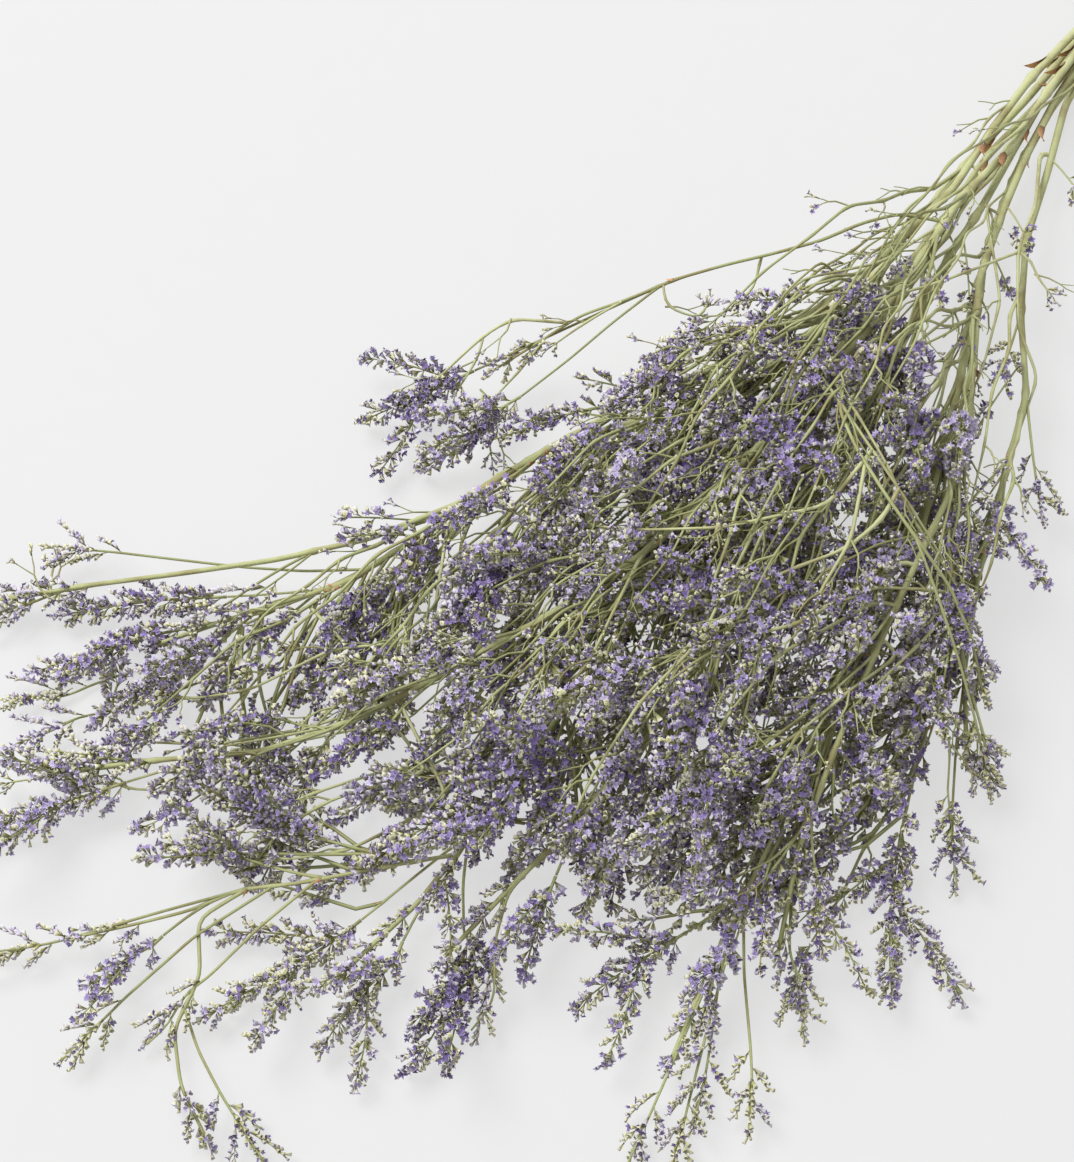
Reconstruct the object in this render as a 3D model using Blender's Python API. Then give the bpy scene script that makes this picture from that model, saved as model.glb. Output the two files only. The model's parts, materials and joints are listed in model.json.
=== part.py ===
"""A tied bunch of dried statice lying on a surface, as closed solids in metres.

The origin is the middle of the flat underside of the tie. +Y runs along the stems to their cut ends, the
flowers spread out towards -Y, and +Z is up. Every length below is in millimetres unless its name says other.
"""

import math
import random

import bmesh
import bpy
import numpy as np

MM = 0.001
GROWTH_SEED = 11        # for the routes of branches, spikes and twigs
FLORET_SEED = 43        # for the florets' sizes

# Clearances
GAP = 0.3               # least gap between two bodies
BEND_GAP = 0.55         # gap that a route is bent to, so that the least gap holds
SEAT_GAP = 0.3          # gap between a branch's end and the flower head that it carries
FLOOR_GAP = 0.3         # lowest that a spray hangs over the surface

# Bending clear: the points of a path are pushed out of what they cross, over and over
BEND_ROUNDS = 70
BEND_OVERSHOOT = 0.1    # how much further than the gap a point is pushed
BEND_STEP = 3.0         # furthest that a point moves in one round
BEND_HASTE = 1.15
BEND_KEEP = 0.6         # share of its own push that a point takes
BEND_SHARE = 0.3        # share that it takes from each neighbour
FIRM_SHARE = 0.65       # near a firm end, what a branch grows from is no obstacle

# Trying again: the tip moves, the end swings or the spike rolls a little further each time
HEAD_TRIES = 20
SPIKE_TRIES = 14
SHORT_SPIKE_TRY = 9     # from this try on, a spike is shorter
TWIG_TRIES = 10
BRACT_TRIES = 8
TIP_SHIFT = 1.5
END_SWING = 0.25
END_SWING_STEP = 0.1

# Stems
STEM_RADIUS = 2.7       # at the tie
STEM_TIP_RADIUS = 1.2
LIMB_RADIUS = 1.6
BRANCH_RADIUS = 1.15
TWIG_RADIUS = 0.75
TIP_RADIUS = 0.55
STEM_SIDES = 5
BRANCH_SIDES = 4
TWIG_SIDES = 3
STEM_STEP = 42.0        # spacing of a stem's points
LIMB_STEP = 24.0
STALK_STEP = 26.0
COMB_STALK_STEP = 30.0

# Where a branch leaves what it grows from, and how it curves
LIMB_BACK = 22.0        # how far back a limb leaves, from its first place
BRANCH_BACK = 34.0      # the same for a branch, and BACK_SHARE of its tip's distance more
BACK_SHARE = 0.9
FIRST_SPOT = 0.15       # share of a stem that a tip's nearest place is past
FIRST_ROOT = 0.12       # share of a stem that has no branches
HEADING_PULL = 0.35     # how much a branch starts along its stem
HANDLE = 0.33           # length of a curve's handles, as a share of its span
CURVE_POINTS = 30

# Bare twigs
TWIGS_PER_STEM = 3
TWIG_START = 0.28       # shares of the stem's length
TWIG_SPREAD = 0.62
TWIG_LENGTH = (24.0, 42.0)
TWIG_RISE = (-0.1, 0.7)
TWIG_LEAN = 0.7
TWIG_CURVE = 5.0

# Flower heads: a slim core with large florets standing out of it, and two side spikes
HEAD_LENGTH = 72.0
HEAD_SHARE = 0.62       # most of its branch that a head takes up
HEAD_RINGS = 8
HEAD_SIDES = 6
CORE_RADIUS = 2.2
FLORET_REACH = 8.5
SPIKE_LENGTH = 44.0
SPIKE_ROLL = (-15.0, 50.0)      # degrees over the level
SPIKE_ROLL_STEP = 12.0
SPIKE_FORWARD = 0.9
SPIKE_SIDEWAYS = 0.75
SPIKE_BULGE = 2.0
SPIKE_RINGS = 6
SPIKE_PLACES = ((0.2, 1.0), (0.45, -1.0))     # share of the head's length, and side
SPIKE_SIDES = 4
SPIKE_REACH = 7.0
SPIKE_CORE = (0.9, 1.3, 0.5)    # at its root, along it, and at its tip
FLORET_LEAN = 0.55      # how far a floret leans forward, in ring spacings

# Bare calyx combs at the furthest tips
COMB_LENGTH = 34.0
COMB_RINGS = 7
COMB_REACH = 3.4
COMB_SHARE = 0.6
COMB_ROOT_RADIUS = 0.9
COMB_LEAN = 0.8

# Scale bracts at the nodes of the thick stems
BRACT_LENGTH = 8.0
BRACT_RADIUS = 1.3
BRACT_STAND_OFF = 2.6
BRACT_TIP_RADIUS = 0.3
BRACT_PLACES = (0.18, 0.27)     # shares of the stem's length
BRACT_TURN = 2.4                # radians from one to the next
BRACT_TRY_TURN = 0.8

# Tie: turns of cord, drawn as one band with a flat underside
TIE_WIDTH = 9.0
TIE_THICKNESS = 1.8
TIE_CORNER = 4.2
TIE_CORNER_STEPS = 3
SLOT_PITCH = 5.8        # spacing of the stems in the tie
ROW_PITCH = 5.05
COLUMN = {"left": -SLOT_PITCH, "half left": -SLOT_PITCH / 2, "middle": 0.0,
          "half right": SLOT_PITCH / 2, "right": SLOT_PITCH}
ROW = {"low": TIE_THICKNESS + GAP + STEM_RADIUS}
ROW["mid"] = ROW["low"] + ROW_PITCH
ROW["high"] = ROW["mid"] + ROW_PITCH
TIE_EXIT = -9.0         # stems run straight through the tie up to here

# Each stem: its place in the tie, where its cut end is, the places that it passes, the tips of its flower
# heads, and the tips of its bare combs. A limb is a long side stem, and grows from the stem named first.
STEMS = {
    "a": dict(
        slot=("left", "high"), cut=52,
        route=((-6, -75, 18), (-10, -110, 20), (-2, -160, 24), (-5, -215, 30), (-8, -260, 38),
               (-22, -310, 42), (-45, -355, 40), (-65, -395, 36), (-90, -455, 28), (-120, -495, 24),
               (-150, -525, 20), (-190, -560, 15), (-225, -595, 12)),
        heads=((-35, -305, 60), (-20, -330, 66), (-40, -370, 58), (-30, -426, 62), (-88, -395, 28),
               (-60, -420, 48), (-75, -458, 42), (-88, -497, 32), (-46, -514, 46)),
        combs=((-222, -598, 9), (-150, -560, 16))),
    "b": dict(
        slot=("middle", "high"), cut=60,
        route=((2, -80, 20), (8, -150, 26), (5, -185, 30), (10, -230, 38), (14, -275, 44),
               (10, -340, 50), (5, -410, 54), (-15, -470, 48), (-45, -530, 36), (-72, -575, 26),
               (-115, -610, 18), (-150, -640, 13)),
        heads=((35, -380, 84), (-10, -445, 72), (-55, -470, 54), (-25, -540, 52), (-50, -575, 38),
               (-100, -585, 28), (-160, -678, 10)),
        combs=((-155, -632, 14),)),
    "c": dict(
        slot=("middle", "low"), cut=46,
        route=((0, -90, 7), (-4, -135, 7), (0, -190, 9), (0, -260, 13), (5, -360, 18), (5, -455, 22),
               (8, -530, 21), (8, -595, 16), (0, -640, 12)),
        heads=((35, -555, 42), (12, -600, 22), (-35, -682, 9), (12, -665, 9), (42, -652, 9)),
        combs=()),
    "d": dict(
        slot=("left", "low"), cut=55,
        route=((-5, -90, 6), (-9, -160, 8), (-9, -235, 12), (-25, -320, 17), (-55, -365, 19),
               (-80, -410, 19), (-92, -455, 17), (-103, -492, 15), (-120, -522, 13), (-138, -540, 12),
               (-155, -568, 10)),
        heads=((-200, -575, 10), (-187, -606, 10), (-90, -530, 34), (-122, -552, 22), (-150, -610, 14)),
        combs=((-223, -562, 14), (-196, -627, 9), (-172, -638, 9))),
    "e": dict(
        slot=("right", "low"), cut=50,
        route=((7, -100, 10), (16, -150, 12), (30, -200, 15), (55, -260, 19), (80, -330, 23),
               (98, -405, 25), (105, -470, 23), (114, -520, 18), (120, -560, 13), (127, -590, 10)),
        heads=((95, -430, 70), (105, -495, 52), (131, -473, 44), (85, -592, 12)),
        combs=((130, -578, 9), (168, -597, 8), (148, -606, 8), (137, -636, 8), (152, -626, 8))),
    "f": dict(
        slot=("right", "high"), cut=57,
        route=((12, -90, 17), (25, -130, 19), (35, -160, 21), (44, -190, 23), (62, -220, 25),
               (80, -245, 26), (91, -270, 25), (101, -305, 23), (115, -345, 21), (125, -370, 19),
               (152, -410, 14)),
        heads=((117, -335, 38), (182, -515, 10), (90, -400, 72), (112, -432, 58)),
        combs=((180, -462, 10), (70, -262, 36), (122, -298, 14))),
    "g": dict(
        slot=("half left", "mid"), cut=64,
        route=((-2, -60, 14), (3, -105, 17), (12, -165, 19), (18, -220, 26), (30, -285, 34),
               (40, -375, 40), (45, -455, 42), (45, -520, 34), (36, -570, 23), (30, -610, 15)),
        heads=((15, -515, 72), (66, -512, 78), (5, -560, 54), (-10, -587, 36), (60, -597, 14),
               (22, -456, 70)),
        combs=((52, -627, 9),)),
    "h": dict(
        slot=("half right", "mid"), cut=49,
        route=((5, -60, 14), (10, -115, 16), (20, -155, 22), (28, -190, 30), (40, -225, 34),
               (65, -270, 36), (85, -320, 46), (98, -385, 58), (110, -445, 52), (122, -495, 36),
               (137, -530, 20)),
        heads=((55, -338, 76), (75, -542, 62), (120, -542, 36), (152, -522, 24), (50, -465, 86),
               (20, -337, 76)),
        combs=((163, -552, 10),)),
}
LIMBS = {
    "b_left": dict(
        parent="b",
        route=((-18, -218, 42), (-22, -238, 46), (-45, -275, 50), (-66, -300, 48), (-90, -335, 40),
               (-101, -345, 37), (-104, -356, 32), (-116, -377, 22)),
        head_length=52.0,
        heads=((-151, -426, 11), (-115, -430, 11)),
        combs=()),
    "c_left": dict(
        parent="c",
        route=((-8, -592, 22), (-35, -620, 19), (-55, -637, 16), (-67, -656, 13), (-95, -688, 11)),
        heads=((-88, -640, 24), (-92, -613, 30), (-79, -702, 11)),
        combs=((-122, -715, 9), (-68, -732, 9), (-45, -707, 9))),
    "c_hook": dict(
        parent="c_left",
        route=((-60, -655, 16), (-45, -672, 13), (-42, -692, 10), (-31, -706, 9), (-15, -717, 8),
               (-2, -722, 8)),
        heads=(),
        combs=((22, -716, 8),)),
    "g_over": dict(
        parent="g",
        route=((20, -290, 60), (32, -335, 80), (60, -360, 90), (92, -372, 82), (122, -377, 58),
               (145, -392, 34)),
        heads=(),
        combs=((170, -422, 14),)),
}


class Crowd:
    """The bodies that stand so far, as thick line segments with an owner each."""

    def __init__(self):
        self.starts = np.zeros((0, 3))
        self.ends = np.zeros((0, 3))
        self.radii = np.zeros(0)
        self.owners = np.zeros(0, int)

    def add(self, path, radii, owner):
        self.starts = np.vstack([self.starts, path[:-1]])
        self.ends = np.vstack([self.ends, path[1:]])
        self.radii = np.append(self.radii, np.maximum(radii[:-1], radii[1:]))
        self.owners = np.append(self.owners, np.full(len(path) - 1, owner))

    def nearest(self, points, radii, own):
        """For each point: the gap to the nearest body of another owner, and the way out of it."""
        if not len(self.radii):
            return np.full(len(points), np.inf), np.zeros((len(points), 3))
        other = self.owners[None, :] != own[:, None]
        along = self.ends - self.starts
        length2 = np.maximum((along * along).sum(1), 1e-9)
        offset = points[:, None, :] - self.starts[None, :, :]
        share = np.clip((offset * along[None]).sum(2) / length2, 0.0, 1.0)
        away = offset - share[..., None] * along[None]
        distance = np.sqrt((away * away).sum(2))
        gap = np.where(other, distance - self.radii[None, :] - radii[:, None], np.inf)
        worst = gap.argmin(1)
        rows = np.arange(len(points))
        way = away[rows, worst] / np.maximum(distance[rows, worst], 1e-6)[:, None]
        way[distance[rows, worst] < 1e-3] = (0.0, 0.0, 1.0)
        return gap[rows, worst], way


def unit(vector):
    return vector / max(float(np.linalg.norm(vector)), 1e-9)


def lengths_along(path):
    steps = np.linalg.norm(np.diff(path, axis=0), axis=1)
    return np.concatenate([[0.0], np.cumsum(steps)])


def point_at(path, distance):
    run = lengths_along(path)
    return np.array([np.interp(distance, run, path[:, k]) for k in range(3)])


def direction_at(path, distance):
    step = 4.0
    return unit(point_at(path, distance + step) - point_at(path, distance - step))


def smooth_through(points, spacing):
    """A fair curve through the points, as points about one spacing apart."""
    p = np.asarray(points, float)
    p = np.vstack([2 * p[0] - p[1], p, 2 * p[-1] - p[-2]])
    dense = []
    for i in range(1, len(p) - 2):
        for t in np.linspace(0.0, 1.0, 12, endpoint=False):
            a = 2 * p[i]
            b = p[i + 1] - p[i - 1]
            c = 2 * p[i - 1] - 5 * p[i] + 4 * p[i + 1] - p[i + 2]
            d = 3 * p[i] - p[i - 1] - 3 * p[i + 1] + p[i + 2]
            dense.append(0.5 * (a + b * t + c * t * t + d * t ** 3))
    dense.append(p[-2])
    dense = np.array(dense)
    total = lengths_along(dense)[-1]
    count = max(3, int(round(total / spacing)) + 1)
    return np.array([point_at(dense, s) for s in np.linspace(0.0, total, count)])


def sample_weights(path, spacing=1.5):
    """Rows that turn a path's points into samples along its straight runs."""
    rows = []
    for i in range(len(path) - 1):
        count = max(1, int(math.ceil(np.linalg.norm(path[i + 1] - path[i]) / spacing)))
        for t in np.arange(count) / count:
            row = np.zeros(len(path))
            row[i] = 1.0 - t
            row[i + 1] = t
            rows.append(row)
    row = np.zeros(len(path))
    row[-1] = 1.0
    rows.append(row)
    return np.array(rows)


def bend_clear(crowd, path, radii, own, firm):
    """Bends a path until it is clear of the other bodies and of the surface; None if it can't be. Its first
    points, as many as firm says, stay."""
    path = path.copy()
    for turn in range(BEND_ROUNDS):
        weights = sample_weights(path)
        points = weights @ path
        thick = weights @ radii
        owners = own[weights.argmax(1)]
        gap, way = crowd.nearest(points, thick, owners)
        gap[weights[:, :firm].sum(1) > FIRM_SHARE] = np.inf
        push = way * np.clip(BEND_GAP + BEND_OVERSHOOT - gap, 0.0, BEND_STEP)[:, None]
        low = thick + FLOOR_GAP - points[:, 2]
        push[:, 2] += np.clip(low, 0.0, None)
        sunk = bool((low > 0.02).any())
        if gap.min() >= BEND_GAP and not sunk:
            return path
        felt = weights * (np.abs(push).sum(1) > 0)[:, None]
        move = (weights.T @ push) / np.maximum(felt.sum(0), 0.5)[:, None]
        spread = move.copy()
        spread[1:-1] = BEND_KEEP * move[1:-1] + BEND_SHARE * (move[:-2] + move[2:])
        spread[:firm] = 0.0
        path += spread * BEND_HASTE
    weights = sample_weights(path, 0.7)
    gap, way = crowd.nearest(weights @ path, weights @ radii, own[weights.argmax(1)])
    lowest = ((weights @ path)[:, 2] - weights @ radii).min()
    return path if gap.min() >= GAP and lowest > 0.0 else None


def frames(path):
    """Tangent, side and up directions along a path, without twist."""
    tangents = np.array([
        unit(path[min(i + 1, len(path) - 1)] - path[max(i - 1, 0)]) for i in range(len(path))])
    side = unit(np.cross(tangents[0], (0.0, 0.0, 1.0) if abs(tangents[0][2]) < 0.9 else (1.0, 0.0, 0.0)))
    sides = []
    for tangent in tangents:
        side = unit(side - tangent * float(side @ tangent))
        sides.append(side)
    sides = np.array(sides)
    return tangents, sides, np.cross(sides, tangents)


def tube(path, radii, sides, reach=None, lean=0.0, one_sided=False):
    """A closed tube in millimetres. Where reach is over 0, every other corner of the ring stands out by it
    as a floret, so florets alternate like a chequerboard."""
    tangents, across, up = frames(path)
    verts = []
    for i, centre in enumerate(path):
        for j in range(sides):
            angle = 2 * math.pi * j / sides + math.pi / 2
            out = across[i] * math.cos(angle) + up[i] * math.sin(angle)
            tall = reach is not None and reach[i] > 0 and (i + j) % 2 == 0
            if one_sided and j != 0:
                tall = False
            if tall:
                verts.append(centre + out * reach[i] + tangents[i] * lean)
            else:
                verts.append(centre + out * radii[i])
    faces = [tuple(reversed(range(sides)))]
    for i in range(len(path) - 1):
        for j in range(sides):
            k = (j + 1) % sides
            a, b = i * sides + j, i * sides + k
            c, d = a + sides, b + sides
            if (i + j) % 2 == 0:
                faces += [(a, b, c), (b, d, c)]
            else:
                faces += [(a, d, c), (a, b, d)]
    faces.append(tuple(range((len(path) - 1) * sides, len(path) * sides)))
    return verts, faces


def mesh_object(name, verts, faces, collection):
    mesh = bpy.data.meshes.new(name)
    mesh.from_pydata([tuple(v * MM) for v in verts], [], faces)
    work = bmesh.new()
    work.from_mesh(mesh)
    if work.calc_volume(signed=True) < 0:
        bmesh.ops.reverse_faces(work, faces=work.faces)
    work.to_mesh(mesh)
    work.free()
    thing = bpy.data.objects.new(name, mesh)
    collection.objects.link(thing)
    return thing


def keep_largest_body(mesh):
    """Drops the loose scraps that a join can leave."""
    work = bmesh.new()
    work.from_mesh(mesh)
    left = set(work.verts)
    groups = []
    while left:
        stack = [left.pop()]
        group = set(stack)
        while stack:
            for edge in stack.pop().link_edges:
                for vert in edge.verts:
                    if vert in left:
                        left.remove(vert)
                        group.add(vert)
                        stack.append(vert)
        groups.append(group)
    groups.sort(key=len)
    for group in groups[:-1]:
        bmesh.ops.delete(work, geom=list(group), context="VERTS")
    work.to_mesh(mesh)
    work.free()


def join_shapes(name, shapes, material):
    """One closed body from overlapping shapes, each given as its vertices and faces. The MANIFOLD solver
    joins them, because EXACT is slow on so many."""
    scene = bpy.context.scene
    parts = bpy.data.collections.new(name + " parts")
    scene.collection.children.link(parts)
    body = mesh_object(name, *shapes[0], scene.collection)
    for verts, faces in shapes[1:]:
        mesh_object(name + " part", verts, faces, parts)
    if len(shapes) > 1:
        join = body.modifiers.new("Join", "BOOLEAN")
        join.operation = "UNION"
        join.operand_type = "COLLECTION"
        join.collection = parts
        join.solver = "MANIFOLD"
        bpy.context.view_layer.update()
        graph = bpy.context.evaluated_depsgraph_get()
        joined = bpy.data.meshes.new_from_object(body.evaluated_get(graph))
        body.modifiers.clear()
        body.data = joined
    for thing in list(parts.objects):
        bpy.data.objects.remove(thing)
    bpy.data.collections.remove(parts)
    keep_largest_body(body.data)
    body.data.name = name
    body.data.materials.clear()
    body.data.materials.append(material)
    body.data.shade_smooth()
    body.data.set_sharp_from_angle(angle=math.radians(35))
    return body


def material(name, colour, roughness):
    made = bpy.data.materials.new(name)
    made.use_nodes = True
    shader = made.node_tree.nodes["Principled BSDF"]
    shader.inputs["Base Color"].default_value = (*colour, 1.0)
    shader.inputs["Roughness"].default_value = roughness
    shader.inputs["Metallic"].default_value = 0.0
    made.diffuse_color = (*colour, 1.0)
    return made


def taper(path, start, end):
    return np.linspace(start, end, len(path))


class Bunch:
    """Grows the stems one after another, each bent clear of what stands already."""

    def __init__(self):
        self.crowd = Crowd()
        self.draw = random.Random(GROWTH_SEED)
        self.sizes = random.Random(FLORET_SEED)
        self.shapes = {}
        self.head_shapes = {}
        self.paths = {}
        self.node_of = {}
        self.owner_of = {}

    def grow_stem(self, key, plan):
        column, row = plan["slot"]
        x, z = COLUMN[column], ROW[row]
        cut_end, tie_exit = (x, plan["cut"], z), (x, TIE_EXIT, z)
        curve = smooth_through([tie_exit, *plan["route"]], STEM_STEP)
        path = np.vstack([cut_end, curve])
        radii = taper(path, STEM_RADIUS, STEM_TIP_RADIUS)
        radii[:2] = STEM_RADIUS
        owner = len(self.owner_of)
        own = np.full(len(path), owner)
        clear = bend_clear(self.crowd, path, radii, own, 2)
        if clear is None:
            raise RuntimeError(f"stem {key} crosses another")
        self.owner_of[key] = owner
        self.node_of[key] = "stem_" + key
        self.paths[key] = clear
        self.crowd.add(clear, radii, owner)
        self.shapes[self.node_of[key]] = [tube(clear, radii, STEM_SIDES)]

    def root_on(self, key, target, back=None):
        """Where on a stem a branch for this tip leaves: some way back from the nearest place."""
        path = self.paths[key]
        run = lengths_along(path)
        spots = np.linspace(FIRST_SPOT * run[-1], run[-1], 90)
        places = np.array([point_at(path, s) for s in spots])
        away = np.linalg.norm(places - target, axis=1)
        nearest = int(away.argmin())
        if back is None:
            back = BACK_SHARE * away[nearest] + BRANCH_BACK
        return max(spots[nearest] - back, FIRST_ROOT * run[-1])

    def branch_curve(self, key, tip, attempt):
        path = self.paths[key]
        shift = TIP_SHIFT * attempt
        tip = np.array([value + self.draw.uniform(-shift, shift) for value in tip])
        spot = self.root_on(key, tip)
        root = point_at(path, spot)
        heading = direction_at(path, spot)
        span = float(np.linalg.norm(tip - root))
        out = unit(unit(tip - root) + HEADING_PULL * heading)
        side = np.array([self.draw.uniform(-1, 1), self.draw.uniform(-1, 1), self.draw.uniform(0, 0.8)])
        end = unit(unit(tip - root) + (END_SWING + END_SWING_STEP * attempt) * side)
        p1 = root + out * span * HANDLE
        p2 = tip - end * span * HANDLE
        t = np.linspace(0, 1, CURVE_POINTS)[:, None]
        return (1 - t) ** 3 * root + 3 * (1 - t) ** 2 * t * p1 + 3 * (1 - t) * t * t * p2 + t ** 3 * tip

    def grow_limb(self, key, plan):
        parent = plan["parent"]
        first = np.asarray(plan["route"][0], float)
        spot = self.root_on(parent, first, LIMB_BACK)
        root = point_at(self.paths[parent], spot)
        path = smooth_through([root, *plan["route"]], LIMB_STEP)
        radii = taper(path, LIMB_RADIUS, BRANCH_RADIUS)
        owner = self.owner_of[parent]
        clear = bend_clear(self.crowd, path, radii, np.full(len(path), owner), 1)
        if clear is None:
            raise RuntimeError(f"limb {key} crosses another stem")
        self.owner_of[key] = owner
        self.node_of[key] = self.node_of[parent]
        self.paths[key] = clear
        self.crowd.add(clear, radii, owner)
        self.shapes[self.node_of[key]].append(tube(clear, radii, BRANCH_SIDES))

    def grow_head(self, key, tip, longest):
        """A side branch and the flower head at its end."""
        owner = self.owner_of[key]
        number = len(self.head_shapes) + 1
        head_owner = 100 + number
        for attempt in range(HEAD_TRIES):
            curve = self.branch_curve(key, tip, attempt)
            total = lengths_along(curve)[-1]
            base = total - min(longest, HEAD_SHARE * total)
            count = max(3, int(round(base / STALK_STEP)) + 1)
            stalk = [point_at(curve, s) for s in np.linspace(0, base, count)]
            flower = [point_at(curve, s) for s in np.linspace(base, total, HEAD_RINGS)]
            path = np.array(stalk + flower[1:])
            radii = np.full(len(path), BRANCH_RADIUS)
            radii[count:] = FLORET_REACH
            own = np.where(np.arange(len(path)) < count, owner, head_owner)
            clear = bend_clear(self.crowd, path, radii, own, 1)
            if clear is not None:
                break
        if clear is None:
            raise RuntimeError(f"no room for flower head {number}")
        stalk = clear[:count]
        flower = clear[count - 1:].copy()
        flower[0] += unit(flower[1] - flower[0]) * SEAT_GAP
        width = taper(stalk, BRANCH_RADIUS, 0.8 * BRANCH_RADIUS)
        self.crowd.add(stalk, width, owner)
        self.crowd.add(flower, np.full(len(flower), FLORET_REACH), head_owner)
        self.shapes[self.node_of[key]].append(tube(stalk, width, BRANCH_SIDES))
        step = lengths_along(flower)[-1] / (HEAD_RINGS - 1)
        core = np.full(HEAD_RINGS, CORE_RADIUS)
        core[0] = 0.8 * BRANCH_RADIUS
        core[-1] = 0.6
        reach = np.array([self.sizes.uniform(0.78, 1.0) * FLORET_REACH for ring in range(HEAD_RINGS)])
        reach[0] = reach[-1] = 0.0
        name = f"head_{number:02d}"
        self.head_shapes[name] = [tube(flower, core, HEAD_SIDES, reach, FLORET_LEAN * step)]
        self.paths[name] = flower
        self.owner_of[name] = head_owner

    def grow_spikes(self, name):
        """The side spikes of a flower head, one to each side."""
        flower = self.paths[name]
        total = lengths_along(flower)[-1]
        owner = self.owner_of[name]
        for share, turn in SPIKE_PLACES:
            root = point_at(flower, share * total)
            heading = direction_at(flower, share * total)
            level = unit(np.cross(heading, (0.0, 0.0, 1.0)))
            for attempt in range(SPIKE_TRIES):
                roll = math.radians(self.draw.uniform(*SPIKE_ROLL) + SPIKE_ROLL_STEP * attempt)
                side = level * turn * math.cos(roll) + np.array([0, 0, 1.0]) * math.sin(roll)
                length = SPIKE_LENGTH * self.draw.uniform(0.8, 1.1)
                if attempt >= SHORT_SPIKE_TRY:
                    length *= 0.75
                aim = unit(heading * SPIKE_FORWARD + side * SPIKE_SIDEWAYS)
                path = np.array([root + aim * length * t + side * SPIKE_BULGE * math.sin(math.pi * t)
                                 for t in np.linspace(0, 1, SPIKE_RINGS)])
                radii = np.full(SPIKE_RINGS, SPIKE_REACH)
                weights = sample_weights(path, 1.0)
                points = weights @ path
                gap, way = self.crowd.nearest(points, weights @ radii, np.full(len(points), owner))
                if gap.min() >= GAP and points[:, 2].min() >= SPIKE_REACH:
                    break
            else:
                continue
            self.crowd.add(path, radii, owner)
            core = np.full(SPIKE_RINGS, SPIKE_CORE[1])
            core[0] = SPIKE_CORE[0]
            core[-1] = SPIKE_CORE[2]
            reach = np.full(SPIKE_RINGS, self.sizes.uniform(0.8, 1.0) * SPIKE_REACH)
            reach[0] = reach[-1] = 0.0
            step = length / (SPIKE_RINGS - 1)
            self.head_shapes[name].append(tube(path, core, SPIKE_SIDES, reach, FLORET_LEAN * step))

    def grow_comb(self, key, tip):
        """A thin side branch that ends in a bare one-sided calyx comb. One with no room is left out."""
        owner = self.owner_of[key]
        for attempt in range(HEAD_TRIES):
            curve = self.branch_curve(key, tip, attempt)
            total = lengths_along(curve)[-1]
            base = total - min(COMB_LENGTH, COMB_SHARE * total)
            count = max(3, int(round(base / COMB_STALK_STEP)) + 1)
            stalk = [point_at(curve, s) for s in np.linspace(0, base, count)]
            comb = [point_at(curve, s) for s in np.linspace(base, total, COMB_RINGS)]
            path = np.array(stalk + comb[1:])
            radii = taper(path, COMB_ROOT_RADIUS, TIP_RADIUS)
            thick = radii.copy()
            thick[count:] = COMB_REACH
            clear = bend_clear(self.crowd, path, thick, np.full(len(path), owner), 1)
            if clear is not None:
                break
        if clear is None:
            return
        reach = np.zeros(len(path))
        reach[count:-1] = COMB_REACH
        self.crowd.add(clear, thick, owner)
        step = COMB_LENGTH / (COMB_RINGS - 1)
        shape = tube(clear, radii, BRANCH_SIDES, reach, COMB_LEAN * step, one_sided=True)
        self.shapes[self.node_of[key]].append(shape)

    def grow_twigs(self, key):
        """Short bare twigs along a stem, each with two or three calyces at its end."""
        path = self.paths[key]
        owner = self.owner_of[key]
        total = lengths_along(path)[-1]
        for index in range(TWIGS_PER_STEM):
            share = TWIG_START + TWIG_SPREAD * (index + 0.5) / TWIGS_PER_STEM
            for attempt in range(TWIG_TRIES):
                spot = (share + self.draw.uniform(-0.03, 0.03)) * total
                root = point_at(path, spot)
                heading = direction_at(path, spot)
                level = unit(np.cross(heading, (0.0, 0.0, 1.0)))
                turn = 1.0 if (index + attempt) % 2 else -1.0
                rise = self.draw.uniform(*TWIG_RISE)
                aim = unit(heading + TWIG_LEAN * turn * level + rise * np.array([0, 0, 1.0]))
                length = self.draw.uniform(*TWIG_LENGTH)
                twig = np.array([root + aim * length * t + heading * TWIG_CURVE * t * t
                                 for t in np.linspace(0, 1, 5)])
                radii = taper(twig, TWIG_RADIUS, TIP_RADIUS)
                thick = radii.copy()
                thick[2:] = COMB_REACH
                weights = sample_weights(twig, 0.8)
                points = weights @ twig
                gap, way = self.crowd.nearest(points, weights @ thick, np.full(len(points), owner))
                if gap.min() >= GAP and points[:, 2].min() >= COMB_REACH:
                    self.crowd.add(twig, thick, owner)
                    reach = np.array([0, 0, COMB_REACH, COMB_REACH, 0])
                    self.shapes[self.node_of[key]].append(
                        tube(twig, radii, TWIG_SIDES, reach, 2.0))
                    break

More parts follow.
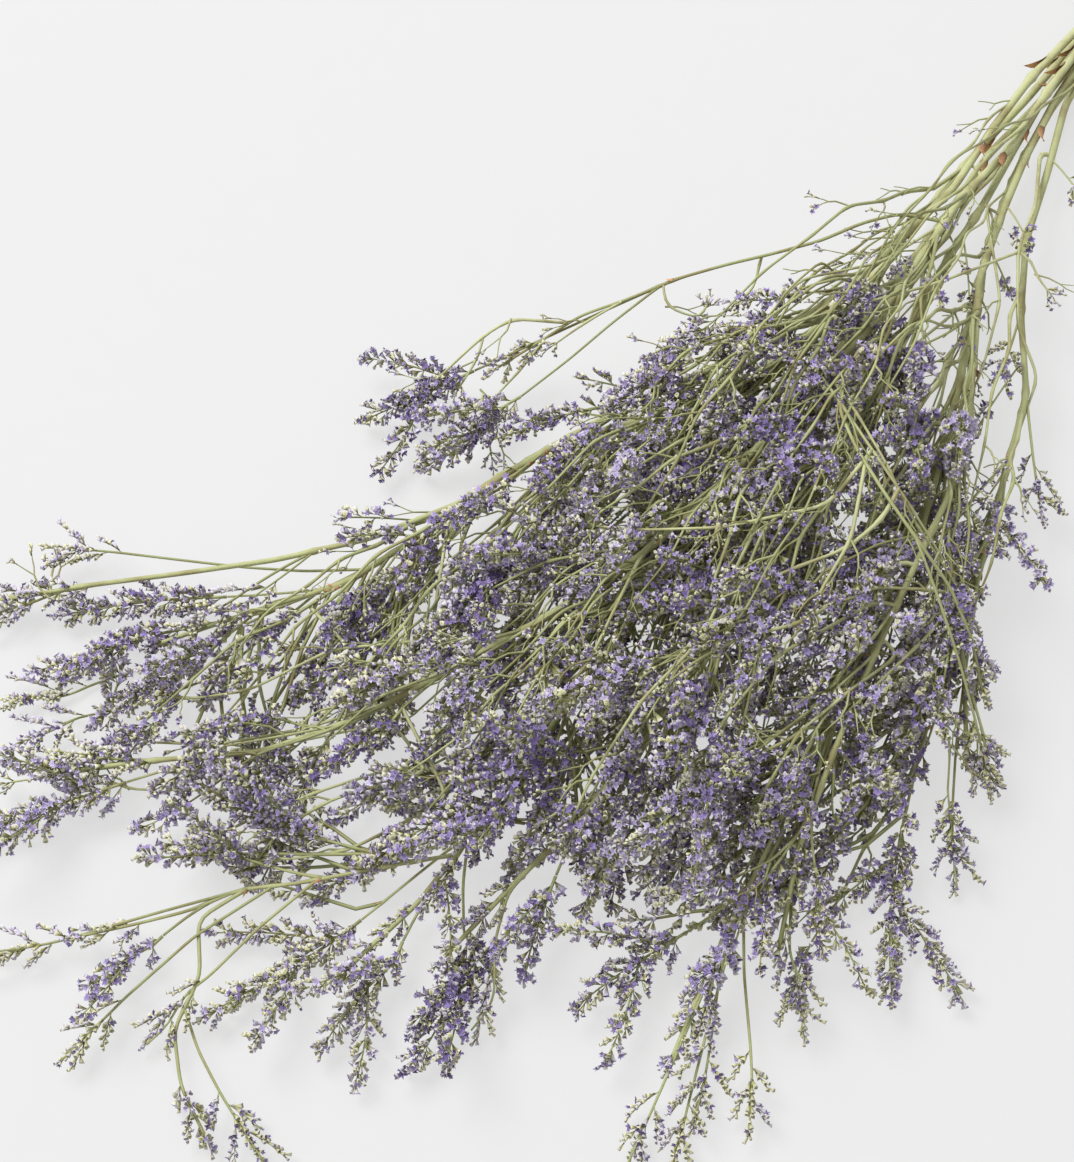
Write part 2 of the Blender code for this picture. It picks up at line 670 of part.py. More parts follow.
    def grow_bracts(self, key):
        """Pointed scale bracts that stand off the thick part of a stem."""
        path = self.paths[key]
        owner = self.owner_of[key]
        total = lengths_along(path)[-1]
        for index, share in enumerate(BRACT_PLACES):
            root = point_at(path, share * total)
            heading = direction_at(path, share * total)
            for attempt in range(BRACT_TRIES):
                angle = BRACT_TURN * index + BRACT_TRY_TURN * attempt
                level = unit(np.cross(heading, (0.0, 0.0, 1.0)))
                out = level * math.cos(angle) + np.cross(level, heading) * math.sin(angle)
                end = root + heading * BRACT_LENGTH + out * (STEM_RADIUS + BRACT_STAND_OFF)
                scale = np.array([root + out, (root + end) / 2 + 0.6 * out, end])
                radii = np.array([BRACT_RADIUS, 0.8 * BRACT_RADIUS, BRACT_TIP_RADIUS])
                weights = sample_weights(scale, 0.5)
                points = weights @ scale
                gap, way = self.crowd.nearest(points, weights @ radii, np.full(len(points), owner))
                if gap.min() >= GAP and points[:, 2].min() >= BRACT_RADIUS:
                    self.crowd.add(scale, radii, owner)
                    self.shapes[self.node_of[key]].append(tube(scale, radii, TWIG_SIDES))
                    break

    def grow(self):
        for key, plan in STEMS.items():
            self.grow_stem(key, plan)
        for key, plan in LIMBS.items():
            self.grow_limb(key, plan)
        plans = {**STEMS, **LIMBS}
        for key, plan in plans.items():
            for tip in plan["heads"]:
                self.grow_head(key, tip, plan.get("head_length", HEAD_LENGTH))
        for name in self.head_shapes:
            self.grow_spikes(name)
        for key, plan in plans.items():
            for tip in plan["combs"]:
                self.grow_comb(key, tip)
        for key in STEMS:
            self.grow_twigs(key)
            self.grow_bracts(key)


def tie_shape():
    """The band: a rounded rectangle round the stems, with a flat underside at zero height."""
    half_wide = SLOT_PITCH + STEM_RADIUS + GAP + TIE_THICKNESS
    top = ROW["high"] + STEM_RADIUS + GAP + TIE_THICKNESS
    middle = top / 2
    outline = []
    for quarter, (sx, sz) in enumerate(((1, 1), (-1, 1), (-1, -1), (1, -1))):
        cx = sx * (half_wide - TIE_CORNER)
        cz = middle + sz * (middle - TIE_CORNER)
        for step in range(TIE_CORNER_STEPS + 1):
            angle = math.pi / 2 * (quarter + step / TIE_CORNER_STEPS)
            out = np.array([math.cos(angle), 0.0, math.sin(angle)])
            centre = np.array([cx, 0.0, cz])
            outline.append((centre + out * TIE_CORNER, centre + out * (TIE_CORNER - TIE_THICKNESS)))
    verts = []
    for outer, inner in outline:
        for point in (outer, inner):
            for y in (-TIE_WIDTH / 2, TIE_WIDTH / 2):
                verts.append(point + np.array([0.0, y, 0.0]))
    faces = []
    count = len(outline)
    for i in range(count):
        a, b = 4 * i, 4 * ((i + 1) % count)
        faces.append((a, a + 1, b + 1, b))
        faces.append((a + 2, b + 2, b + 3, a + 3))
        faces.append((a, b, b + 2, a + 2))
        faces.append((a + 1, a + 3, b + 3, b + 1))
    return verts, faces


def main():
    for thing in list(bpy.data.objects):
        bpy.data.objects.remove(thing)
    bunch = Bunch()
    bunch.grow()
    green = material("dried stem", (0.36, 0.38, 0.16), 0.7)
    violet = material("dried flowers", (0.26, 0.20, 0.45), 0.85)
    cord = material("tie cord", (0.55, 0.44, 0.28), 0.9)
    for name, shapes in bunch.shapes.items():
        join_shapes(name, shapes, green)
    for name, shapes in bunch.head_shapes.items():
        join_shapes(name, shapes, violet)
    join_shapes("tie", [tie_shape()], cord)


main()
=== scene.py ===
import functools
import json
import math
import random

import bpy
import numpy as np
from bpy.props import FloatProperty, FloatVectorProperty, PointerProperty
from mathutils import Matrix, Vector

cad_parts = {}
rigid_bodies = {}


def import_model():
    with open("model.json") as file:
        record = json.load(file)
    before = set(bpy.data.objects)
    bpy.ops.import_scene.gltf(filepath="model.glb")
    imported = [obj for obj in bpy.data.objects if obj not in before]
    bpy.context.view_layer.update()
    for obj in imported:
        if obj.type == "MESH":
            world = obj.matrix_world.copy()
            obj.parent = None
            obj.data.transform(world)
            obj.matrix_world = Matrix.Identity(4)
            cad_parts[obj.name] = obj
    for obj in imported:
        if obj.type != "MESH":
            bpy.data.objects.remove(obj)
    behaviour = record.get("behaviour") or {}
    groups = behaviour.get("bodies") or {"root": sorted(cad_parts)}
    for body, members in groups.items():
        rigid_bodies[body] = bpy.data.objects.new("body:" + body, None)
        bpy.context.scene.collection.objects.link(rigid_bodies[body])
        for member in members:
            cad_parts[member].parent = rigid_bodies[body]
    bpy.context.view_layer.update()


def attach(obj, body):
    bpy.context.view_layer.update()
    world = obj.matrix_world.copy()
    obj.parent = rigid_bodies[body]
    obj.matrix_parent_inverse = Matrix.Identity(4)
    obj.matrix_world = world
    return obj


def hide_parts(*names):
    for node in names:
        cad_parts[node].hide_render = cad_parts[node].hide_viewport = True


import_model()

bl_info = {
    "name": "Dried statice bunch",
    "version": (1, 0, 0),
    "blender": (4, 5, 0),
    "location": "View3D > Sidebar > Statice",
    "description": "Dresses the packed solids of a tied statice bunch with fine stems, calyces and petals",
    "category": "Object",
}

# Lengths are in millimetres unless a name says other. The plan of the bunch and the rules by which it grows
# are those of the solids, so that every fine stem and spray runs where its solid does.
MM = 0.001
UP = np.array([0.0, 0.0, 1.0])
GROWTH_SEED = 11

# Clearances
GAP = 0.3               # least gap between two bodies
BEND_GAP = 0.55         # gap that a route is bent to, so that the least gap holds
SEAT_GAP = 0.3          # gap between a branch's end and the flower head that it carries
FLOOR_GAP = 0.3         # lowest that a spray hangs over the surface

# Bending clear: the points of a path are pushed out of what they cross, over and over
BEND_ROUNDS = 70
BEND_OVERSHOOT = 0.1    # how much further than the gap a point is pushed
BEND_STEP = 3.0         # furthest that a point moves in one round
BEND_HASTE = 1.15       # of each move, to get there in fewer rounds
BEND_KEEP = 0.6         # share of its own push that a point takes
BEND_SHARE = 0.3        # share that it takes from each neighbour
FIRM_SHARE = 0.65       # near a firm end, what a branch grows from is no obstacle

# Trying again: the tip moves, the end swings or the spike rolls a little further each time
HEAD_TRIES = 20
SPIKE_TRIES = 14
SHORT_SPIKE_TRY = 9     # from this try on, a spike is shorter
TWIG_TRIES = 10
BRACT_TRIES = 8
TIP_SHIFT = 1.5         # how much further the tip may move at each try
END_SWING = 0.25        # how much a branch bends at its end
END_SWING_STEP = 0.1

# Stems
STEM_RADIUS = 2.7       # at the tie
STEM_TIP_RADIUS = 1.2
LIMB_RADIUS = 1.6
BRANCH_RADIUS = 1.15
TWIG_RADIUS = 0.75
TIP_RADIUS = 0.55
STEM_STEP = 42.0        # spacing of a stem's points
LIMB_STEP = 24.0
STALK_STEP = 26.0
COMB_STALK_STEP = 30.0

# Where a branch leaves what it grows from, and how it curves
LIMB_BACK = 22.0        # how far back a limb leaves, from its first place
BRANCH_BACK = 34.0      # the same for a branch, and BACK_SHARE of its tip's distance more
BACK_SHARE = 0.9
FIRST_SPOT = 0.15       # share of a stem that a tip's nearest place is past
FIRST_ROOT = 0.12       # share of a stem that has no branches
HEADING_PULL = 0.35     # how much a branch starts along its stem
HANDLE = 0.33           # length of a curve's handles, as a share of its span
CURVE_POINTS = 30

# Bare twigs
TWIGS_PER_STEM = 3
TWIG_START = 0.28       # shares of the stem's length
TWIG_SPREAD = 0.62
TWIG_LENGTH = (24.0, 42.0)
TWIG_RISE = (-0.1, 0.7)
TWIG_LEAN = 0.7
TWIG_CURVE = 5.0        # how far their ends bend back along the stem

# Flower heads: a slim core with large florets standing out of it, and two side spikes
HEAD_LENGTH = 72.0
HEAD_SHARE = 0.62       # most of its branch that a head takes up
HEAD_RINGS = 8
FLORET_REACH = 8.5
SPIKE_LENGTH = 44.0
SPIKE_ROLL = (-15.0, 50.0)      # degrees over the level
SPIKE_ROLL_STEP = 12.0
SPIKE_FORWARD = 0.9
SPIKE_SIDEWAYS = 0.75
SPIKE_BULGE = 2.0       # how far a spike bows outwards
SPIKE_RINGS = 6
SPIKE_PLACES = ((0.2, 1.0), (0.45, -1.0))     # share of the head's length, and side
SPIKE_REACH = 7.0

# Bare calyx combs at the furthest tips
COMB_LENGTH = 34.0
COMB_RINGS = 7
COMB_REACH = 3.4
COMB_SHARE = 0.6
COMB_ROOT_RADIUS = 0.9

# Scale bracts at the nodes of the thick stems
BRACT_LENGTH = 8.0
BRACT_RADIUS = 1.3
BRACT_STAND_OFF = 2.6
BRACT_TIP_RADIUS = 0.3
BRACT_PLACES = (0.18, 0.27)     # shares of the stem's length
BRACT_TURN = 2.4                # radians from one to the next
BRACT_TRY_TURN = 0.8

# Tie
TIE_WIDTH = 9.0
TIE_THICKNESS = 1.8
TIE_CORNER = 4.2
SLOT_PITCH = 5.8        # spacing of the stems in the tie
ROW_PITCH = 5.05
COLUMN = {"left": -SLOT_PITCH, "half left": -SLOT_PITCH / 2, "middle": 0.0,
          "half right": SLOT_PITCH / 2, "right": SLOT_PITCH}
ROW = {"low": TIE_THICKNESS + GAP + STEM_RADIUS}
ROW["mid"] = ROW["low"] + ROW_PITCH
ROW["high"] = ROW["mid"] + ROW_PITCH
TIE_EXIT = -9.0         # stems run straight through the tie up to here

# Each stem: its place in the tie, where its cut end is, the places that it passes, the tips of its flower
# heads, and the tips of its bare combs. A limb is a long side stem, and grows from the stem named first.
STEMS = {
    "a": dict(
        slot=("left", "high"), cut=52,
        route=((-6, -75, 18), (-10, -110, 20), (-2, -160, 24), (-5, -215, 30), (-8, -260, 38),
               (-22, -310, 42), (-45, -355, 40), (-65, -395, 36), (-90, -455, 28), (-120, -495, 24),
               (-150, -525, 20), (-190, -560, 15), (-225, -595, 12)),
        heads=((-35, -305, 60), (-20, -330, 66), (-40, -370, 58), (-30, -426, 62), (-88, -395, 28),
               (-60, -420, 48), (-75, -458, 42), (-88, -497, 32), (-46, -514, 46)),
        combs=((-222, -598, 9), (-150, -560, 16))),
    "b": dict(
        slot=("middle", "high"), cut=60,
        route=((2, -80, 20), (8, -150, 26), (5, -185, 30), (10, -230, 38), (14, -275, 44),
               (10, -340, 50), (5, -410, 54), (-15, -470, 48), (-45, -530, 36), (-72, -575, 26),
               (-115, -610, 18), (-150, -640, 13)),
        heads=((35, -380, 84), (-10, -445, 72), (-55, -470, 54), (-25, -540, 52), (-50, -575, 38),
               (-100, -585, 28), (-160, -678, 10)),
        combs=((-155, -632, 14),)),
    "c": dict(
        slot=("middle", "low"), cut=46,
        route=((0, -90, 7), (-4, -135, 7), (0, -190, 9), (0, -260, 13), (5, -360, 18), (5, -455, 22),
               (8, -530, 21), (8, -595, 16), (0, -640, 12)),
        heads=((35, -555, 42), (12, -600, 22), (-35, -682, 9), (12, -665, 9), (42, -652, 9)),
        combs=()),
    "d": dict(
        slot=("left", "low"), cut=55,
        route=((-5, -90, 6), (-9, -160, 8), (-9, -235, 12), (-25, -320, 17), (-55, -365, 19),
               (-80, -410, 19), (-92, -455, 17), (-103, -492, 15), (-120, -522, 13), (-138, -540, 12),
               (-155, -568, 10)),
        heads=((-200, -575, 10), (-187, -606, 10), (-90, -530, 34), (-122, -552, 22), (-150, -610, 14)),
        combs=((-223, -562, 14), (-196, -627, 9), (-172, -638, 9))),
    "e": dict(
        slot=("right", "low"), cut=50,
        route=((7, -100, 10), (16, -150, 12), (30, -200, 15), (55, -260, 19), (80, -330, 23),
               (98, -405, 25), (105, -470, 23), (114, -520, 18), (120, -560, 13), (127, -590, 10)),
        heads=((95, -430, 70), (105, -495, 52), (131, -473, 44), (85, -592, 12)),
        combs=((130, -578, 9), (168, -597, 8), (148, -606, 8), (137, -636, 8), (152, -626, 8))),
    "f": dict(
        slot=("right", "high"), cut=57,
        route=((12, -90, 17), (25, -130, 19), (35, -160, 21), (44, -190, 23), (62, -220, 25),
               (80, -245, 26), (91, -270, 25), (101, -305, 23), (115, -345, 21), (125, -370, 19),
               (152, -410, 14)),
        heads=((117, -335, 38), (182, -515, 10), (90, -400, 72), (112, -432, 58)),
        combs=((180, -462, 10), (70, -262, 36), (122, -298, 14))),
    "g": dict(
        slot=("half left", "mid"), cut=64,
        route=((-2, -60, 14), (3, -105, 17), (12, -165, 19), (18, -220, 26), (30, -285, 34),
               (40, -375, 40), (45, -455, 42), (45, -520, 34), (36, -570, 23), (30, -610, 15)),
        heads=((15, -515, 72), (66, -512, 78), (5, -560, 54), (-10, -587, 36), (60, -597, 14),
               (22, -456, 70)),
        combs=((52, -627, 9),)),
    "h": dict(
        slot=("half right", "mid"), cut=49,
        route=((5, -60, 14), (10, -115, 16), (20, -155, 22), (28, -190, 30), (40, -225, 34),
               (65, -270, 36), (85, -320, 46), (98, -385, 58), (110, -445, 52), (122, -495, 36),
               (137, -530, 20)),
        heads=((55, -338, 76), (75, -542, 62), (120, -542, 36), (152, -522, 24), (50, -465, 86),
               (20, -337, 76)),
        combs=((163, -552, 10),)),
}
LIMBS = {
    "b_left": dict(
        parent="b",
        route=((-18, -218, 42), (-22, -238, 46), (-45, -275, 50), (-66, -300, 48), (-90, -335, 40),
               (-101, -345, 37), (-104, -356, 32), (-116, -377, 22)),
        head_length=52.0,
        heads=((-151, -426, 11), (-115, -430, 11)),
        combs=()),
    "c_left": dict(
        parent="c",
        route=((-8, -592, 22), (-35, -620, 19), (-55, -637, 16), (-67, -656, 13), (-95, -688, 11)),
        heads=((-88, -640, 24), (-92, -613, 30), (-79, -702, 11)),
        combs=((-122, -715, 9), (-68, -732, 9), (-45, -707, 9))),
    "c_hook": dict(
        parent="c_left",
        route=((-60, -655, 16), (-45, -672, 13), (-42, -692, 10), (-31, -706, 9), (-15, -717, 8),
               (-2, -722, 8)),
        heads=(),
        combs=((22, -716, 8),)),
    "g_over": dict(
        parent="g",
        route=((20, -290, 60), (32, -335, 80), (60, -360, 90), (92, -372, 82), (122, -377, 58),
               (145, -392, 34)),
        heads=(),
        combs=((170, -422, 14),)),
}


class Crowd:
    """The bodies that stand so far, as thick line segments with an owner each."""

    def __init__(self):
        self.starts = np.zeros((0, 3))
        self.ends = np.zeros((0, 3))
        self.radii = np.zeros(0)
        self.owners = np.zeros(0, int)

    def add(self, path, radii, owner):
        self.starts = np.vstack([self.starts, path[:-1]])
        self.ends = np.vstack([self.ends, path[1:]])
        self.radii = np.append(self.radii, np.maximum(radii[:-1], radii[1:]))
        self.owners = np.append(self.owners, np.full(len(path) - 1, owner))

    def nearest(self, points, radii, own):
        """For each point: the gap to the nearest body of another owner, and the way out of it."""
        if not len(self.radii):
            return np.full(len(points), np.inf), np.zeros((len(points), 3))
        other = self.owners[None, :] != own[:, None]
        along = self.ends - self.starts
        length2 = np.maximum((along * along).sum(1), 1e-9)
        offset = points[:, None, :] - self.starts[None, :, :]
        share = np.clip((offset * along[None]).sum(2) / length2, 0.0, 1.0)
        away = offset - share[..., None] * along[None]
        distance = np.sqrt((away * away).sum(2))
        gap = np.where(other, distance - self.radii[None, :] - radii[:, None], np.inf)
        worst = gap.argmin(1)
        rows = np.arange(len(points))
        way = away[rows, worst] / np.maximum(distance[rows, worst], 1e-6)[:, None]
        way[distance[rows, worst] < 1e-3] = (0.0, 0.0, 1.0)
        return gap[rows, worst], way


def unit(vector):
    return vector / max(float(np.linalg.norm(vector)), 1e-9)


def level_side(heading):
    """The level direction at right angles to a heading."""
    return unit(np.cross(heading, UP))


def around(heading, angle):
    """The way out from a heading, this far round it from the level."""
    level = level_side(heading)
    return level * math.cos(angle) + np.cross(level, heading) * math.sin(angle)


def lengths_along(path):
    steps = np.linalg.norm(np.diff(path, axis=0), axis=1)
    return np.concatenate([[0.0], np.cumsum(steps)])


def point_at(path, distance):
    run = lengths_along(path)
    return np.array([np.interp(distance, run, path[:, k]) for k in range(3)])


def direction_at(path, distance):
    step = 4.0
    return unit(point_at(path, distance + step) - point_at(path, distance - step))


def bezier(a, b, c, d, count):
    t = np.linspace(0, 1, count)[:, None]
    return (1 - t) ** 3 * a + 3 * (1 - t) ** 2 * t * b + 3 * (1 - t) * t * t * c + t ** 3 * d


def smooth_through(points, spacing):
    """A fair curve through the points, as points about one spacing apart."""
    p = np.asarray(points, float)
    p = np.vstack([2 * p[0] - p[1], p, 2 * p[-1] - p[-2]])
    dense = []
    for i in range(1, len(p) - 2):
        for t in np.linspace(0.0, 1.0, 12, endpoint=False):
            a = 2 * p[i]
            b = p[i + 1] - p[i - 1]
            c = 2 * p[i - 1] - 5 * p[i] + 4 * p[i + 1] - p[i + 2]
            d = 3 * p[i] - p[i - 1] - 3 * p[i + 1] + p[i + 2]
            dense.append(0.5 * (a + b * t + c * t * t + d * t ** 3))
    dense.append(p[-2])
    dense = np.array(dense)
    total = lengths_along(dense)[-1]
    count = max(3, int(round(total / spacing)) + 1)
    return np.array([point_at(dense, s) for s in np.linspace(0.0, total, count)])


def sample_weights(path, spacing=1.5):
    """Rows that turn a path's points into samples along its straight runs."""
    rows = []
    for i in range(len(path) - 1):
        count = max(1, int(math.ceil(np.linalg.norm(path[i + 1] - path[i]) / spacing)))
        for t in np.arange(count) / count:
            row = np.zeros(len(path))
            row[i] = 1.0 - t
            row[i + 1] = t
            rows.append(row)
    row = np.zeros(len(path))
    row[-1] = 1.0
    rows.append(row)
    return np.array(rows)


def bend_clear(crowd, path, radii, own, firm):
    """Bends a path until it is clear of the other bodies and of the surface; None if it can't be. Its first
    points, as many as firm says, stay."""
    path = path.copy()
    for turn in range(BEND_ROUNDS):
        weights = sample_weights(path)
        points = weights @ path
        thick = weights @ radii
        owners = own[weights.argmax(1)]
        gap, way = crowd.nearest(points, thick, owners)
        gap[weights[:, :firm].sum(1) > FIRM_SHARE] = np.inf
        push = way * np.clip(BEND_GAP + BEND_OVERSHOOT - gap, 0.0, BEND_STEP)[:, None]
        low = thick + FLOOR_GAP - points[:, 2]
        push[:, 2] += np.clip(low, 0.0, None)
        sunk = bool((low > 0.02).any())
        if gap.min() >= BEND_GAP and not sunk:
            return path
        felt = weights * (np.abs(push).sum(1) > 0)[:, None]
        move = (weights.T @ push) / np.maximum(felt.sum(0), 0.5)[:, None]
        spread = move.copy()
        spread[1:-1] = BEND_KEEP * move[1:-1] + BEND_SHARE * (move[:-2] + move[2:])
        spread[:firm] = 0.0
        path += spread * BEND_HASTE
    weights = sample_weights(path, 0.7)
    gap, way = crowd.nearest(weights @ path, weights @ radii, own[weights.argmax(1)])
    lowest = ((weights @ path)[:, 2] - weights @ radii).min()
    return path if gap.min() >= GAP and lowest > 0.0 else None


def frames(path):
    """Tangent, side and up directions along a path, without twist."""
    tangents = np.gradient(path, axis=0)
    tangents /= np.maximum(np.linalg.norm(tangents, axis=1), 1e-9)[:, None]
    side = unit(np.cross(tangents[0], (0.0, 0.0, 1.0) if abs(tangents[0][2]) < 0.9 else (1.0, 0.0, 0.0)))
    sides = []
    for tangent in tangents:
        side = unit(side - tangent * float(side @ tangent))
        sides.append(side)
    sides = np.array(sides)
    return tangents, sides, np.cross(sides, tangents)


def taper(path, start, end):
    return np.linspace(start, end, len(path))


class Plan:
    """Where every stem, branch, flower head, comb, twig and bract runs, grown as in the solids."""

    def __init__(self):
        self.crowd = Crowd()
        self.draw = random.Random(GROWTH_SEED)
        self.paths = {}
        self.owner_of = {}
        self.stem_of = {}
        self.woods = []         # stem letter, kind, path, radii
        self.heads = {}         # name: stem letter, axes
        self.combs = []         # stem letter, path, where the comb starts
        self.twigs = []
        self.bracts = []

    def grow_stem(self, key, plan):
        column, row = plan["slot"]
        x, z = COLUMN[column], ROW[row]
        cut_end, tie_exit = (x, plan["cut"], z), (x, TIE_EXIT, z)
        curve = smooth_through([tie_exit, *plan["route"]], STEM_STEP)
        path = np.vstack([cut_end, curve])
        radii = taper(path, STEM_RADIUS, STEM_TIP_RADIUS)
        radii[:2] = STEM_RADIUS
        owner = len(self.owner_of)
        clear = bend_clear(self.crowd, path, radii, np.full(len(path), owner), 2)
        if clear is None:
            raise RuntimeError(f"stem {key} crosses another")
        self.owner_of[key] = owner
        self.stem_of[key] = key
        self.paths[key] = clear
        self.crowd.add(clear, radii, owner)
        self.woods.append((key, "stem", clear, radii))

    def root_on(self, key, target, back=None):
        """Where on a stem a branch for this tip leaves: some way back from the nearest place."""
        path = self.paths[key]
        run = lengths_along(path)
        spots = np.linspace(FIRST_SPOT * run[-1], run[-1], 90)
        places = np.array([point_at(path, s) for s in spots])
        away = np.linalg.norm(places - target, axis=1)
        nearest = int(away.argmin())
        if back is None:
            back = BACK_SHARE * away[nearest] + BRANCH_BACK
        return max(spots[nearest] - back, FIRST_ROOT * run[-1])

    def branch_curve(self, key, tip, attempt):
        path = self.paths[key]
        shift = TIP_SHIFT * attempt
        tip = np.array([value + self.draw.uniform(-shift, shift) for value in tip])
        spot = self.root_on(key, tip)
        root = point_at(path, spot)
        heading = direction_at(path, spot)
        span = float(np.linalg.norm(tip - root))
        out = unit(unit(tip - root) + HEADING_PULL * heading)
        side = np.array([self.draw.uniform(-1, 1), self.draw.uniform(-1, 1), self.draw.uniform(0, 0.8)])
        end = unit(unit(tip - root) + (END_SWING + END_SWING_STEP * attempt) * side)
        return bezier(root, root + out * span * HANDLE, tip - end * span * HANDLE, tip, CURVE_POINTS)

    def grow_limb(self, key, plan):
        parent = plan["parent"]
        first = np.asarray(plan["route"][0], float)
        spot = self.root_on(parent, first, LIMB_BACK)
        root = point_at(self.paths[parent], spot)
        path = smooth_through([root, *plan["route"]], LIMB_STEP)
        radii = taper(path, LIMB_RADIUS, BRANCH_RADIUS)
        owner = self.owner_of[parent]
        clear = bend_clear(self.crowd, path, radii, np.full(len(path), owner), 1)
        if clear is None:
            raise RuntimeError(f"limb {key} crosses another stem")
        self.owner_of[key] = owner
        self.stem_of[key] = self.stem_of[parent]
        self.paths[key] = clear
        self.crowd.add(clear, radii, owner)
        self.woods.append((self.stem_of[key], "limb", clear, radii))

    def grow_head(self, key, tip, longest):
        """A side branch and the axis of the flower head at its end."""
        owner = self.owner_of[key]
        number = len(self.heads) + 1
        head_owner = 100 + number
        for attempt in range(HEAD_TRIES):
            curve = self.branch_curve(key, tip, attempt)
            total = lengths_along(curve)[-1]
            base = total - min(longest, HEAD_SHARE * total)
            count = max(3, int(round(base / STALK_STEP)) + 1)
            stalk = [point_at(curve, s) for s in np.linspace(0, base, count)]
            flower = [point_at(curve, s) for s in np.linspace(base, total, HEAD_RINGS)]
            path = np.array(stalk + flower[1:])
            radii = np.full(len(path), BRANCH_RADIUS)
            radii[count:] = FLORET_REACH
            own = np.where(np.arange(len(path)) < count, owner, head_owner)
            clear = bend_clear(self.crowd, path, radii, own, 1)
            if clear is not None:
                break
        if clear is None:
            raise RuntimeError(f"no room for flower head {number}")
        stalk = clear[:count]
        flower = clear[count - 1:].copy()
        flower[0] += unit(flower[1] - flower[0]) * SEAT_GAP
        width = taper(stalk, BRANCH_RADIUS, 0.8 * BRANCH_RADIUS)
        self.crowd.add(stalk, width, owner)
        self.crowd.add(flower, np.full(len(flower), FLORET_REACH), head_owner)
        name = f"head_{number:02d}"
        self.paths[name] = flower
        self.owner_of[name] = head_owner
        self.heads[name] = (self.stem_of[key], [flower])
        self.woods.append((self.stem_of[key], "stalk", stalk, width))

    def grow_spikes(self, name):
        """The axes of a flower head's side spikes, one to each side."""
        flower = self.paths[name]
        total = lengths_along(flower)[-1]
        owner = self.owner_of[name]
        for share, turn in SPIKE_PLACES:
            root = point_at(flower, share * total)
            heading = direction_at(flower, share * total)
            level = level_side(heading)
            for attempt in range(SPIKE_TRIES):
                roll = math.radians(self.draw.uniform(*SPIKE_ROLL) + SPIKE_ROLL_STEP * attempt)
                side = level * turn * math.cos(roll) + UP * math.sin(roll)
                length = SPIKE_LENGTH * self.draw.uniform(0.8, 1.1)
                if attempt >= SHORT_SPIKE_TRY:
                    length *= 0.75
                aim = unit(heading * SPIKE_FORWARD + side * SPIKE_SIDEWAYS)
                path = np.array([root + aim * length * t + side * SPIKE_BULGE * math.sin(math.pi * t)
                                 for t in np.linspace(0, 1, SPIKE_RINGS)])
                radii = np.full(SPIKE_RINGS, SPIKE_REACH)
                weights = sample_weights(path, 1.0)
                points = weights @ path
                gap, way = self.crowd.nearest(points, weights @ radii, np.full(len(points), owner))
                if gap.min() >= GAP and points[:, 2].min() >= SPIKE_REACH:
                    break
            else:
                continue
            self.crowd.add(path, radii, owner)
            self.heads[name][1].append(path)

    def grow_comb(self, key, tip):
        """A thin side branch that ends in a bare one-sided calyx comb."""
        owner = self.owner_of[key]
        for attempt in range(HEAD_TRIES):
            curve = self.branch_curve(key, tip, attempt)
            total = lengths_along(curve)[-1]
            base = total - min(COMB_LENGTH, COMB_SHARE * total)
            count = max(3, int(round(base / COMB_STALK_STEP)) + 1)
            stalk = [point_at(curve, s) for s in np.linspace(0, base, count)]
            comb = [point_at(curve, s) for s in np.linspace(base, total, COMB_RINGS)]
            path = np.array(stalk + comb[1:])
            radii = taper(path, COMB_ROOT_RADIUS, TIP_RADIUS)
            thick = radii.copy()
            thick[count:] = COMB_REACH
            clear = bend_clear(self.crowd, path, thick, np.full(len(path), owner), 1)
            if clear is not None:
                break
        if clear is None:
            return
        self.crowd.add(clear, thick, owner)
        self.combs.append((self.stem_of[key], clear, radii, count))

    def grow_twigs(self, key):
        """Short bare twigs along a stem, each with a few calyces at its end."""
        path = self.paths[key]
        owner = self.owner_of[key]
        total = lengths_along(path)[-1]
        for index in range(TWIGS_PER_STEM):
            share = TWIG_START + TWIG_SPREAD * (index + 0.5) / TWIGS_PER_STEM
            for attempt in range(TWIG_TRIES):
                spot = (share + self.draw.uniform(-0.03, 0.03)) * total
                root = point_at(path, spot)
                heading = direction_at(path, spot)
                level = level_side(heading)
                turn = 1.0 if (index + attempt) % 2 else -1.0
                rise = self.draw.uniform(*TWIG_RISE)
                aim = unit(heading + TWIG_LEAN * turn * level + rise * UP)
                length = self.draw.uniform(*TWIG_LENGTH)
                twig = np.array([root + aim * length * t + heading * TWIG_CURVE * t * t
                                 for t in np.linspace(0, 1, 5)])
                radii = taper(twig, TWIG_RADIUS, TIP_RADIUS)
                thick = radii.copy()
                thick[2:] = COMB_REACH
                weights = sample_weights(twig, 0.8)
                points = weights @ twig
                gap, way = self.crowd.nearest(points, weights @ thick, np.full(len(points), owner))
                if gap.min() >= GAP and points[:, 2].min() >= COMB_REACH:
                    self.crowd.add(twig, thick, owner)
                    self.twigs.append((key, twig, radii))
                    break

